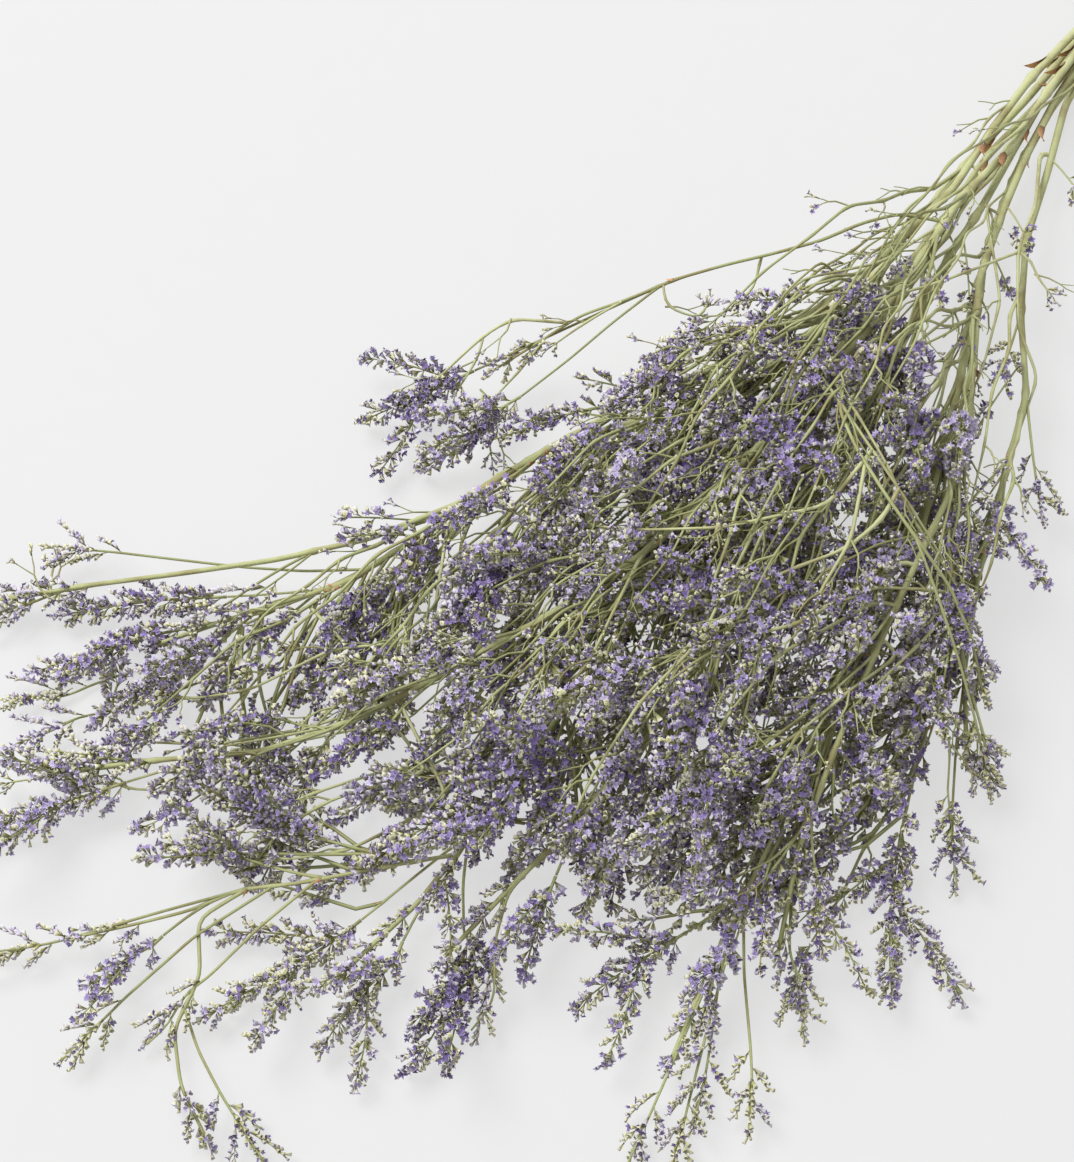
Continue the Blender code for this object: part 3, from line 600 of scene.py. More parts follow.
    def grow_bracts(self, key):
        """Pointed scale bracts that stand off the thick part of a stem."""
        path = self.paths[key]
        owner = self.owner_of[key]
        total = lengths_along(path)[-1]
        for index, share in enumerate(BRACT_PLACES):
            root = point_at(path, share * total)
            heading = direction_at(path, share * total)
            for attempt in range(BRACT_TRIES):
                angle = BRACT_TURN * index + BRACT_TRY_TURN * attempt
                out = around(heading, angle)
                end = root + heading * BRACT_LENGTH + out * (STEM_RADIUS + BRACT_STAND_OFF)
                scale = np.array([root + out, (root + end) / 2 + 0.6 * out, end])
                radii = np.array([BRACT_RADIUS, 0.8 * BRACT_RADIUS, BRACT_TIP_RADIUS])
                weights = sample_weights(scale, 0.5)
                points = weights @ scale
                gap, way = self.crowd.nearest(points, weights @ radii, np.full(len(points), owner))
                if gap.min() >= GAP and points[:, 2].min() >= BRACT_RADIUS:
                    self.crowd.add(scale, radii, owner)
                    self.bracts.append((key, root, heading, out))
                    break

    def grow(self):
        for key, plan in STEMS.items():
            self.grow_stem(key, plan)
        for key, plan in LIMBS.items():
            self.grow_limb(key, plan)
        plans = {**STEMS, **LIMBS}
        for key, plan in plans.items():
            for tip in plan["heads"]:
                self.grow_head(key, tip, plan.get("head_length", HEAD_LENGTH))
        for name in self.heads:
            self.grow_spikes(name)
        for key, plan in plans.items():
            for tip in plan["combs"]:
                self.grow_comb(key, tip)
        for key in STEMS:
            self.grow_twigs(key)
            self.grow_bracts(key)
        return self


@functools.lru_cache(maxsize=1)
def grown_plan():
    return Plan().grow()


# Calyces and corollas, as shares of a calyx's length
CALYX_WALL = 5              # sides of a calyx
CALYX_WAIST = 0.13          # its radius half way up
CALYX_MOUTH = 0.24          # and at the mouth
CROWDED_MOUTH = 0.25        # the same for those in the thick of a spray
CALYX_THROAT = 0.72         # height of the middle of the mouth, which is painted darker: partly the tube's own colour, partly painted shade for the hollow of the tube
PETALS = 5
PETAL_THROAT = 0.86         # height of a corolla's middle
OPEN_RISE = 1.12            # height of an open corolla's petal tips
OPEN_NOTCH = 0.5            # how far the cuts between its petals are out, of the tips
SHUT_SPREAD = 0.17          # radius, rise and notch of a corolla that is shut
SHUT_RISE = 1.36
SHUT_NOTCH = 0.75
BLOOM_OPEN = 0.7            # share of the corollas that stand open

SMOOTH_STEP = 6.0           # spacing of the points on a smoothed path
ANY_TURN = 6.3              # radians, all the way round

# Spikelets: a thin curved rachis with two rows of calyces
SPIKELET_PITCH = 1.25       # spacing of the calyces
FINE_PITCH = 1.5            # and on the bare combs and buds, where each calyx shows its outline
SPIKELET_REACH = 11.5       # length of the spikelets along a head
SPIKELET_CURL = (-0.32, 0.12)       # how far the end bends to the face, as a share of the length
SPIKELET_FLOOR = 2.0        # lowest that the end hangs over the surface
RACHIS_FLOOR = 1.2
RACHIS_RADIUS = 0.28
RACHIS_END_RADIUS = 0.16
FIRST_CALYX = 0.16          # share of the rachis below the first calyx
CALYX_ROLL = math.radians(32)       # how far each row stands to its side
CALYX_LEAN = (0.86, 0.52)   # along the rachis, and out from it
CALYX_PLACE_SPREAD = 0.012  # unevenness of their places, rolls and axes
CALYX_ROLL_SPREAD = 0.2
CALYX_AXIS_SPREAD = 0.1
CALYX_SIZE = (1.05, 0.3)    # of the full size, at the foot of the rachis, and how much less at its end
CALYX_SIZE_SPREAD = (0.86, 1.12)
CALYX_TINT = (0.6, 0.4)     # share of the tint that a spikelet has as a whole, and of each calyx's own
FLOWERED = (1.3, 0.75)      # of the bloom, at the foot of the rachis, and how much less at its end
SHADE_SPREAD = 0.22
FLORET_FLOOR = 0.25         # lowest point of any floret

# Sprays: spikelets all round an axis
SPRAY_PITCH = 2.1           # spacing of the spikelets along a head's axis
SPIKELET_TURN = 2.4         # radians round the axis from one to the next
SPIKELET_LEAN = (0.9, 0.55)         # along the axis, and out from it
FACE_OUT = 0.5              # spikelets face outwards and, more so, upwards
FACE_UP = 0.6
AIM_SPREAD = 0.1            # unevenness of the way they point, of the way they face and of their places
FACE_SPREAD = 0.25
PLACE_SPREAD = 0.2          # of the spacing
LAST_SPIKELET = 0.96        # share of the axis that carries them
REACH_FALL = (1.2, 0.55)    # of the reach, at the foot of the axis, and how much less at its end
REACH_SPREAD = (0.75, 1.15)
BLOOM_FALL = (1.15, 0.5)    # the same for the bloom
TONE_SPREAD = 0.12
END_SPIKELET = 0.75         # length of the one at the tip, of the reach
END_START = 3.0             # how far before the tip it starts
END_HEADING = 4.0           # and where the axis has the heading that it takes

# Side sprays that fill the pile
FILL_SEED = 7
FILL_TRIES = 6000
CORE_SPACING = 10.9         # in the thick of the pile
EDGE_SPACING = 16.0         # and towards its edges
HEIGHT_WEIGHT = 0.4         # what a step up counts in this spacing, to a step sideways
HEAD_NEAR = 30.0            # the heads this near give the height of the pile over a place
EDGE_TOP = 16.0             # height of the pile where no head is near
FILL_FLOOR = 8.0
FILL_LOW = 1.4              # over 1, more of the places are low
ROOT_STEP = 6.0             # spacing of the places where a side stalk may leave the wood
ROOT_START = 8.0
BARE_SHARE = 0.2            # of a cut stem, with no side stalks
FILL_BACK = 85.0            # usual length of a side spray's stalk
BACK_SPREAD = (0.6, 1.8)
LONG_SPREAD = (1.8, 3.2)    # the same for those that come from far up the stems
LONG_SHARE = 0.3            # share of the side sprays that do
TURN_COST = (30.0, 170.0)   # what a stalk that turns back counts, to a millimetre of length
SHORT_STALK = 34.0          # stalks shorter than this are avoided
SHORT_COST = 200.0
SPRAY_LENGTH = 34.0
SPRAY_REACH = 8.0           # length of the spikelets of a side spray
OVER_SHARE = 0.45           # share of the side sprays whose stalk runs over the pile
OVER_RISE = 10.0            # how far over it
ARCH_TOP = 90.0             # how high such a stalk arches at most
TOP_DEPTH = 12.0            # sprays less deep than this under the top of the pile are the fullest
SPRAY_SAG = np.array([0.0, 0.0, -0.25])
SAG_ABOVE = 20.0            # sprays higher than this hang at their tips
STALK_FLOOR = 9.0           # stalks rise to this height, if they leave lower
STALK_RADIUS = (0.6, 1.15)
AXIS_RADII = (0.45, 0.25)   # of a side spray's axis, at its foot and its tip
STALK_POINTS = 24
AXIS_POINTS = 7
STALK_PULL = 0.8            # how much a stalk starts along its stem
STALK_HANDLES = (0.36, 0.3)         # lengths of its curve's handles, as shares of its span
END_WANDER = 0.3            # how far its end points off
SPRAY_SPREAD = (0.7, 1.1)   # of the spray's length
SPRAY_SHARE = 0.62          # most of the stalk that it takes up
NODE_SPREAD = (0.8, 1.3)
ZIGZAG_SPREAD = (0.4, 1.0)
NODE_STEP = 22.0            # spacing of a thin stalk's nodes
ZIGZAG = 2.2                # how far they stand to either side
BUDS_BELOW = -300.0         # branchlets nearer to the tie than this are bare
LOW_COUNT = 230             # twigs low in the pile, seen only between the sprays
LOW_HEIGHT = (4.0, 13.0)
LOW_BACK = (50.0, 110.0)
LOW_TURN_COST = (20.0, 120.0)
HEIGHT_COST = 2.0           # what a millimetre of the root's height counts, so that they leave low wood

# Moods: how full and how light the bloom is
BLOOM = (0.55, 1.0)
TONE, TONE_WIDTH = 0.5, 0.27
TONE_RANGE = (0.05, 0.95)
LEFT_START, LEFT_WIDTH = 60.0, 60.0         # where the left tips start, towards -X
LEFT_TONE = 0.12            # how much lighter they are
LOWER_START, LOWER_WIDTH = 560.0, 120.0     # the same for the lower tips, towards -Y
LOWER_BLOOM = 0.35          # how much less they bloom at most

# Fine wood
WOOD_SHARE = {"stem": 0.8, "limb": 0.6, "stalk": 0.62}      # thickness of the fine wood, of the solid's
COMB_WOOD_SHARE = 0.75
TWIG_WOOD_SHARE = 0.7
BRANCHLET_SHARE = 0.75      # share of the nodes that have a branchlet
BARE_BRANCHLET_SHARE = 0.4
BRANCHLET_LENGTH = (6.0, 16.0)
TWIGLET_LENGTH = (4.0, 10.0)
BUD_LENGTH = (3.0, 6.0)
BRANCHLET_RADII = np.array([0.55, 0.46, 0.4])
TWIGLET_RADII = np.array([0.36, 0.3, 0.24])
WOOD_FLOOR = 2.0            # lowest that branchlets run
NODE_SWELLING = 0.38        # how much thicker a stem is at a node
NODE_LENGTH = 3.0
NODE_NEAR = 4.0             # a branch this near to a stem swells it
NODE_BRACTS = 0.35          # share of the nodes with a bract
NODE_BRACT_LENGTH = (2.0, 1.6)      # its length and width: a fixed part, and a share of the stem's radius
NODE_BRACT_WIDTH = (0.5, 0.45)
BRACT_ROWS = 5
BRACT_WIDTH = 2.7           # of the bracts on the thick stems
BRACT_POINT = 3.0           # how much longer than the solid they are
TIP_SPRAY = {"stem": 46.0, "limb": 30.0}    # how much of a tip carries spikelets
TIP_PITCH, TIP_REACH = 4.0, 11.0            # their spacing and length
TWIG_PITCH, TWIG_REACH = 5.0, 8.0
LOW_PITCH, LOW_REACH = 4.6, 9.0
INSIDE_PITCH, INSIDE_REACH = 2.4, 0.95 * SPRAY_REACH
TOP_PITCH, TOP_REACH = 1.9, 1.2 * SPRAY_REACH
TOP_BLOOM, TOP_PAINTED_LIGHT, TOP_SIZE = 0.08, 0.18, 1.14    # more bloom, lighter petals as painted light on the top of the pile, and larger florets
# darker petals in the sprays inside the pile: painted shade
INSIDE_PAINTED_SHADE = -0.12
LIMB_END_CLEAR = 25.0       # a limb with a branch nearer to its end than this has none

# The materials of a piece of wood, and of a piece with florets. A triangle's slot is its place in these.
WOOD_LOOKS = ("stem", "bract", "cut")
SPRAY_LOOKS = ("stem", "calyx", "petal")
BRACT_SLOT, CUT_SLOT = 1, 2
CALYX_SLOT, PETAL_SLOT = 1, 2

# Plan of the flower pile seen from above, and of its thick part
PILE = ((-82, -398), (-67, -351), (-43, -308), (-28, -281), (7, -278), (41, -290), (88, -299),
        (114, -317), (124, -355), (140, -400), (160, -432), (172, -452), (172, -479), (172, -515),
        (150, -550), (134, -550), (106, -578), (67, -598), (42, -602), (46, -632), (18, -655),
        (-25, -655), (-71, -640), (-130, -640), (-165, -600), (-150, -560), (-100, -508), (-70, -451))
CORE = ((-72, -400), (-55, -345), (-20, -290), (35, -292), (95, -315), (125, -370), (138, -430),
        (140, -500), (100, -545), (40, -570), (-30, -575), (-50, -630), (-83, -646), (-106, -624),
        (-80, -560), (-120, -560), (-80, -500), (-60, -450))

# Thin branches, given one by one: over the pile, in the neck, at the left spray and among the left tips.
# Each has its stem, its radius at the root, what its end carries, and the places that it passes; its root
# moves to the nearest wood of its stem.
THIN_BRANCHES = (
    ("g", 0.8, "buds", ((7, -315, 62), (32, -335, 80), (58, -352, 89), (81, -361, 84),
                       (101, -363, 64), (115, -363, 42))),
    ("g", 0.7, "spray", ((14, -314, 60), (40, -334, 78), (65, -352, 86), (87, -363, 76),
                       (109, -364, 54), (133, -371, 34), (142, -388, 24))),
    ("g", 0.9, "spray", ((115, -361, 40), (105, -378, 58), (89, -397, 72), (83, -413, 74))),
    ("g", 0.9, "spray", ((115, -361, 38), (116, -396, 54), (112, -430, 60), (108, -444, 54))),
    ("g", 1.0, "spray", ((78, -357, 84), (78, -375, 84), (73, -394, 82), (62, -410, 80),
                       (47, -431, 74), (34, -447, 66))),
    ("g", 0.9, "spray", ((58, -353, 90), (57, -383, 86), (27, -415, 82), (-3, -430, 70), (-31, -437, 56))),
    ("g", 0.9, "spray", ((57, -354, 90), (73, -390, 84), (75, -416, 80), (82, -435, 68))),
    ("g", 0.8, "spray", ((116, -362, 38), (131, -385, 34), (154, -401, 18), (166, -413, 10))),
    ("h", 1.0, "spray", ((90, -370, 56), (76, -429, 76), (58, -452, 76), (50, -465, 70), (39, -489, 56))),
    ("h", 1.0, "spray", ((92, -393, 58), (75, -446, 72), (72, -479, 64), (75, -503, 54))),
    ("h", 0.9, "spray", ((111, -406, 50), (105, -436, 60), (97, -468, 58), (83, -488, 52), (58, -508, 46))),
    ("a", 1.0, "spray", ((-4, -382, 44), (2, -437, 60), (13, -487, 62), (11, -516, 52), (-3, -541, 40))),
    ("b", 1.0, "spray", ((31, -390, 56), (48, -461, 78), (44, -496, 78), (43, -529, 60), (47, -555, 44))),
    ("b", 0.7, "buds", ((-46, -272, 46), (-40, -286, 42), (-43, -296, 40))),
    ("b", 0.6, "buds", ((-73, -310, 48), (-66, -318, 44), (-51, -312, 40), (-53, -304, 40))),
    ("b", 0.7, "buds", ((-86, -326, 44), (-92, -342, 38), (-98, -358, 34))),
    ("b", 0.8, "spray", ((-101, -345, 37), (-120, -360, 38), (-127, -372, 32), (-135, -397, 20),
                       (-141, -413, 12))),
    ("b", 0.6, "buds", ((-104, -356, 32), (-106, -373, 24), (-110, -388, 16))),
    ("b", 0.6, "buds", ((-127, -372, 32), (-124, -380, 26), (-125, -393, 18))),
    ("b", 0.6, "buds", ((-117, -388, 18), (-106, -398, 12), (-96, -408, 8))),
    ("f", 1.1, "buds", ((18, -128, 20), (35, -164, 30), (42, -193, 36), (63, -228, 34),
                       (83, -241, 26), (95, -286, 18), (95, -302, 14))),
    ("f", 0.6, "buds", ((43, -194, 36), (50, -194, 36), (55, -200, 34), (65, -203, 32))),
    ("f", 0.8, "buds", ((43, -193, 36), (26, -243, 52), (9, -274, 60), (-10, -302, 62), (-19, -330, 58))),
    ("h", 0.8, "buds", ((16, -177, 30), (50, -221, 34), (62, -255, 34), (64, -265, 32))),
    ("a", 0.8, "buds", ((5, -157, 22), (-5, -215, 40), (-3, -266, 50), (-12, -301, 52), (-26, -323, 50))),
    ("b", 0.8, "buds", ((9, -200, 30), (0, -246, 50), (-22, -278, 56), (-23, -305, 56))),
    ("e", 0.8, "buds", ((36, -221, 22), (33, -268, 40), (25, -300, 52), (23, -324, 58))),
    ("a", 0.8, "spray", ((-54, -507, 34), (-87, -533, 28), (-105, -566, 22), (-125, -582, 16),
                       (-146, -590, 12))),
    ("d", 0.8, "spray", ((-51, -533, 24), (-77, -567, 20), (-103, -592, 16), (-132, -608, 10),
                       (-151, -605, 10), (-159, -586, 12))),
    ("d", 0.7, "buds", ((-46, -539, 20), (-90, -585, 14), (-131, -621, 10), (-164, -653, 8))),
    ("d", 0.8, "spray", ((-28, -549, 22), (-52, -585, 24), (-68, -611, 22), (-82, -634, 14))),
    ("d", 0.8, "spray", ((-21, -551, 24), (-45, -587, 28), (-54, -609, 26), (-57, -626, 14))),
    ("b", 0.8, "spray", ((-7, -557, 24), (-27, -598, 22), (-48, -617, 18), (-84, -625, 14))),
    ("d", 0.7, "buds", ((-60, -569, 16), (-86, -604, 14), (-121, -627, 10), (-154, -633, 9))),
    ("a", 0.6, "buds", ((-204, -580, 14), (-210, -574, 14), (-215, -566, 12))),
)


class Batch:
    """The triangles of one piece, gathered shape by shape, with what its materials read at each vertex."""

    def __init__(self):
        self.points, self.faces, self.slots = [], [], []
        self.height, self.tint, self.grain = [], [], []
        self.total = 0

    def add(self, points, faces, slot, height, tint, grain=None):
        count = len(points)
        self.points.append(points)
        self.faces.append(np.asarray(faces) + self.total)
        self.slots.append(np.full(len(faces), slot))
        self.height.append(np.broadcast_to(np.asarray(height, float), count))
        self.tint.append(np.broadcast_to(np.asarray(tint, float), count))
        self.grain.append(np.zeros((count, 3)) if grain is None else grain)
        self.total += count

    def piece(self, name, looks, record_slot, nodes):
        points = np.concatenate(self.points) * MM
        faces = np.concatenate(self.faces)
        mesh = bpy.data.meshes.new(name)
        mesh.vertices.add(len(points))
        mesh.vertices.foreach_set("co", points.astype(np.float32).ravel())
        mesh.loops.add(faces.size)
        mesh.loops.foreach_set("vertex_index", faces.astype(np.int32).ravel())
        mesh.polygons.add(len(faces))
        mesh.polygons.foreach_set("loop_start", np.arange(0, faces.size, 3, dtype=np.int32))
        mesh.polygons.foreach_set("material_index", np.concatenate(self.slots).astype(np.int32))
        for label, values in (("height", self.height), ("tint", self.tint)):
            layer = mesh.attributes.new(label, "FLOAT", "POINT")
            layer.data.foreach_set("value", np.concatenate(values).astype(np.float32))
        layer = mesh.attributes.new("grain", "FLOAT_VECTOR", "POINT")
        layer.data.foreach_set("vector", np.concatenate(self.grain).astype(np.float32).ravel())
        mesh.update(calc_edges=True)
        mesh.shade_smooth()
        for look in looks:
            mesh.materials.append(finishes()[look])
        made = bpy.data.objects.new(name, mesh)
        bpy.context.scene.collection.objects.link(made)
        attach(made, "root")
        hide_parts(*nodes)


def points_along(path, spots):
    """The points of a path at these distances along it."""
    run = lengths_along(path)
    return np.column_stack([np.interp(spots, run, path[:, k]) for k in range(path.shape[1])])


def soft_corners(path, radii, spacing):
    """The path and its radii at closer points: straight between its nodes, with a short bend at each."""
    run = lengths_along(path)
    count = max(4, int(round(run[-1] / spacing)) + 1)
    spots = np.linspace(0.0, run[-1], count)
    closer = points_along(path, spots)
    for turn in range(2):
        closer[1:-1] = 0.5 * closer[1:-1] + 0.25 * (closer[:-2] + closer[2:])
    return closer, np.interp(spots, run, radii)


def falling(values, share):
    """The first value at the foot, and less by the second at the end."""
    return values[0] - values[1] * share


def angles_round(count):
    return np.arange(count) * 2 * math.pi / count


def fan(middle, first, second):
    """Triangles round one point."""
    return np.stack([np.full(len(first), middle), first, second], -1)


def tube(path, radii, capped=True):
    """The points and faces of a tube. The radii are one for each of its sides at each point of the path."""
    count, sides = radii.shape
    tangents, across, up = frames(path)
    angle = angles_round(sides)
    ring = across[:, None, :] * np.cos(angle)[None, :, None] + up[:, None, :] * np.sin(angle)[None, :, None]
    points = (path[:, None, :] + ring * radii[..., None]).reshape(-1, 3)
    i, j = np.meshgrid(np.arange(count - 1), np.arange(sides), indexing="ij")
    a = i * sides + j
    b = i * sides + (j + 1) % sides
    faces = [np.stack([a, b, b + sides], -1).reshape(-1, 3),
             np.stack([a, b + sides, a + sides], -1).reshape(-1, 3)]
    if capped:
        near, last = len(points), (count - 1) * sides
        points = np.vstack([points, path[0], path[-1]])
        j = np.arange(sides)
        k = (j + 1) % sides
        faces += [fan(near, k, j), fan(near + 1, last + j, last + k)]
    return points, np.concatenate(faces)


def add_wood(batch, path, radii, sides, tint, rib=0.0, swellings=(), capped=True, age=(0.0, 1.0)):
    """A stem as a ribbed tube. Swellings are the places along it where a branch leaves."""
    run = lengths_along(path)
    knot = np.zeros(len(path))
    for place in swellings:
        knot = np.maximum(knot, np.exp(-((run - place) / NODE_LENGTH) ** 2))
    radii = radii * (1 + NODE_SWELLING * knot)
    ribs = 1.0 + rib * np.where(np.arange(sides) % 2, -1.0, 1.0)
    points, faces = tube(path, radii[:, None] * ribs[None, :], capped)
    angle = angles_round(sides)
    count = len(path)
    height = np.repeat(np.linspace(age[0], age[1], count), sides)
    grain = np.stack([np.tile(np.cos(angle), count), np.tile(np.sin(angle), count),
                      np.repeat(run * 0.06, sides)], 1)
    if capped:
        height = np.append(height, age)
        grain = np.vstack([grain, [0, 0, 0], [0, 0, 0]])
    batch.add(points, faces, 0, height, tint, grain)


def add_copies(batch, slot, shape, florets, rng):
    """Copies of a small shape, one for each floret, each turned to its own axis and slightly crumpled."""
    template, faces, heights, jitter = shape
    origin, axis, hint, size, tint = florets
    z = axis / np.linalg.norm(axis, axis=1)[:, None]
    x = np.cross(hint, z)
    x /= np.maximum(np.linalg.norm(x, axis=1), 1e-6)[:, None]
    basis = np.stack([x, np.cross(z, x), z], 1)
    crumpled = rng.normal(0.0, 1.0, (len(origin), *template.shape)) * jitter[None, :, None]
    points = origin[:, None] + size[:, None, None] * ((template[None] + crumpled) @ basis)
    points[..., 2] = np.maximum(points[..., 2], FLORET_FLOOR)
    offsets = (np.arange(len(origin)) * len(template))[:, None, None]
    batch.add(points.reshape(-1, 3), (faces[None] + offsets).reshape(-1, 3), slot,
              np.tile(heights, len(origin)), np.repeat(tint, len(template)))


# Each floret's shape: its points for a calyx of length 1, its faces, and the height that its material reads
# and the crumpling at each point.

def calyx_shape():
    """A slender funnel with a small bract at its foot, for a calyx that shows its outline."""
    wall = CALYX_WALL
    angle = angles_round(wall)
    ring = np.stack([np.cos(angle), np.sin(angle), np.zeros(wall)], 1)
    waist = ring * CALYX_WAIST + (0.0, 0.0, 0.5)
    mouth = ring * CALYX_MOUTH + (0.0, 0.0, 1.0)
    bract = np.array([(-0.11, -0.05, 0.02), (0.11, -0.05, 0.02), (0.0, -0.24, 0.46)])
    points = np.vstack([(0.0, 0.0, 0.0), waist, mouth, bract, (0.0, 0.0, CALYX_THROAT)])
    j = np.arange(wall)
    k = (j + 1) % wall
    foot = 1 + 2 * wall
    faces = np.concatenate([
        fan(0, 1 + k, 1 + j),
        np.stack([1 + j, 1 + k, 1 + wall + k], -1),
        np.stack([1 + j, 1 + wall + k, 1 + wall + j], -1),
        fan(foot + 3, 1 + wall + j, 1 + wall + k),
        [[foot, foot + 1, foot + 2]]])
    # The middle of the mouth reads a low height and so takes the tube's darker colour: partly the tube's
    # own colour, partly painted shade for its hollow.
    heights = np.array([0.05] + [0.5] * wall + [1.0] * wall + [0.0, 0.0, 0.12, 0.25])
    jitter = np.array([0.0] + [0.012] * wall + [0.05] * wall + [0.015] * 4)
    return points, faces, heights, jitter


def crowded_calyx_shape(closed):
    """A plain funnel for the calyces in the thick of a spray; a closed one shows its mouth as a sheet,
    darker in the middle as painted shade for the hollow tube.
    """
    wall = CALYX_WALL
    angle = angles_round(wall)
    mouth = np.stack([CROWDED_MOUTH * np.cos(angle), CROWDED_MOUTH * np.sin(angle), np.ones(wall)], 1)
    points = np.vstack([(0.0, 0.0, 0.0), mouth, (0.0, 0.0, CALYX_THROAT)])
    j = np.arange(wall)
    k = (j + 1) % wall
    faces = [fan(0, 1 + k, 1 + j)]
    if closed:
        faces.append(fan(1 + wall, 1 + j, 1 + k))
    else:
        points = points[:-1]
    # The middle of a closed mouth reads a low height: partly the tube's own colour, partly painted shade
    # for its hollow.
    heights = np.array([0.12] + [1.0] * wall + [0.25])[:len(points)]
    jitter = np.array([0.0] + [0.055] * wall + [0.015])[:len(points)]
    return points, np.concatenate(faces), heights, jitter


def corolla_shape(tip_radius, tip_height, notch):
    """Five petals round a deep middle."""
    number = 2 * PETALS
    angle = angles_round(number)
    outer = np.arange(number) % 2 == 0
    radius = np.where(outer, tip_radius, tip_radius * notch)
    rise = np.where(outer, tip_height, 1.0 + 0.45 * (tip_height - 1.0))
    points = np.stack([radius * np.cos(angle), radius * np.sin(angle), rise], 1)
    points = np.vstack([(0.0, 0.0, PETAL_THROAT), points])
    j = np.arange(number)
    faces = fan(0, 1 + j, 1 + (j + 1) % number)
    heights = np.concatenate([[0.0], np.where(outer, 1.0, 0.55)])
    jitter = np.concatenate([[0.03], np.full(number, 0.06)])
    return points, faces, heights, jitter


class Spray:
    """Gathers the spikelets of one piece: thin green rachises, calyces and corollas."""

    def __init__(self, batch, rng, sizes):
        self.batch, self.rng, self.sizes = batch, rng, sizes
        self.calyces, self.flowered, self.fine, self.corollas = [], [], [], []

    def spikelet(self, root, heading, face, length, bloom, tone, size=1.0, fine=False):
        """A curved spikelet with two rows of calyces on the side that it faces."""
        rng = self.rng
        face = unit(face - heading * float(face @ heading))
        side = np.cross(heading, face)
        curl = rng.uniform(*SPIKELET_CURL)
        lift = np.array([0, 0, max(0.0, SPIKELET_FLOOR - root[2] - heading[2] * length)])

        def places(s):
            return root + heading * length * s + face * (length * curl) * s * s + lift * s

        rachis = places(np.linspace(0.0, 1.0, 5 if fine else 3)[:, None])
        rachis[:, 2] = np.maximum(rachis[:, 2], RACHIS_FLOOR)
        add_wood(self.batch, rachis, taper(rachis, RACHIS_RADIUS, RACHIS_END_RADIUS), 3, rng.uniform(0, 1),
                 capped=False, age=(0.8, 1.0))
        count = max(3, int(length / (FINE_PITCH if fine else self.sizes.calyx_pitch)))
        s = np.linspace(FIRST_CALYX, 1.0, count) + rng.normal(0, CALYX_PLACE_SPREAD, count)
        s = np.clip(s, 0.0, 1.0)[:, None]
        tangent = heading + face * (2 * curl) * s
        tangent /= np.linalg.norm(tangent, axis=1)[:, None]
        roll = np.where(np.arange(count) % 2, 1.0, -1.0) * CALYX_ROLL
        roll = roll + rng.normal(0, CALYX_ROLL_SPREAD, count)
        out = face * np.cos(roll)[:, None] + side * np.sin(roll)[:, None]
        axis = CALYX_LEAN[0] * tangent + CALYX_LEAN[1] * out
        axis = axis + rng.normal(0, CALYX_AXIS_SPREAD, (count, 3))
        full = self.sizes.calyx_length * 1000.0 * size
        sizes = full * falling(CALYX_SIZE, s[:, 0]) * rng.uniform(*CALYX_SIZE_SPREAD, count)
        tint = np.clip(rng.uniform(0, 1) * CALYX_TINT[0] + rng.uniform(0, CALYX_TINT[1], count), 0, 1)
        flowered = rng.uniform(0, 1, count) < bloom * falling(FLOWERED, s[:, 0])
        shade = np.clip(tone + rng.normal(0, SHADE_SPREAD, count), 0, 1)
        florets = (places(s), axis, -out, sizes, tint)
        if fine:
            self.fine.append(florets)
        else:
            self.calyces.append(tuple(v[~flowered] for v in florets))
            self.flowered.append(tuple(v[flowered] for v in florets))
        self.corollas.append(tuple(v[flowered] for v in (*florets[:4], shade)))

    def panicle(self, axis, bloom, tone, pitch, reach, size=1.0):
        """Spikelets all round an axis, longest near its foot, and one at its tip."""
        rng = self.rng
        run = lengths_along(axis)[-1]
        count = max(3, int(run / pitch))
        turn = rng.uniform(0, ANY_TURN)
        for i in range(count):
            share = (i + 0.5 + rng.uniform(-PLACE_SPREAD, PLACE_SPREAD)) / count
            spot = share * run * LAST_SPIKELET
            heading = direction_at(axis, spot)
            out = around(heading, turn + SPIKELET_TURN * i)
            aim = unit(SPIKELET_LEAN[0] * heading + SPIKELET_LEAN[1] * out + rng.normal(0, AIM_SPREAD, 3))
            face = unit(FACE_OUT * out + FACE_UP * UP + rng.normal(0, FACE_SPREAD, 3))
            length = reach * falling(REACH_FALL, share) * rng.uniform(*REACH_SPREAD)
            self.spikelet(point_at(axis, spot), aim, face, length, bloom * falling(BLOOM_FALL, share),
                          tone + rng.normal(0, TONE_SPREAD), size)
        face = unit(UP + rng.normal(0, 0.3, 3))
        self.spikelet(point_at(axis, run - END_START), direction_at(axis, run - END_HEADING), face,
                      END_SPIKELET * reach, bloom, tone, size)

    def finish(self):
        rng = self.rng
        for kind, shape in ((self.calyces, crowded_calyx_shape(True)),
                            (self.flowered, crowded_calyx_shape(False)), (self.fine, calyx_shape())):
            if kind:
                florets = [np.concatenate(part) for part in zip(*kind)]
                add_copies(self.batch, CALYX_SLOT, shape, florets, rng)
        corollas = [np.concatenate(part) for part in zip(*self.corollas)]
        opened = rng.uniform(0, 1, len(corollas[0])) < BLOOM_OPEN
        for chosen, shape in ((opened, corolla_shape(self.sizes.petal_spread, OPEN_RISE, OPEN_NOTCH)),
                              (~opened, corolla_shape(SHUT_SPREAD, SHUT_RISE, SHUT_NOTCH))):
            if chosen.any():
                add_copies(self.batch, PETAL_SLOT, shape, [part[chosen] for part in corollas], rng)


# Side sprays

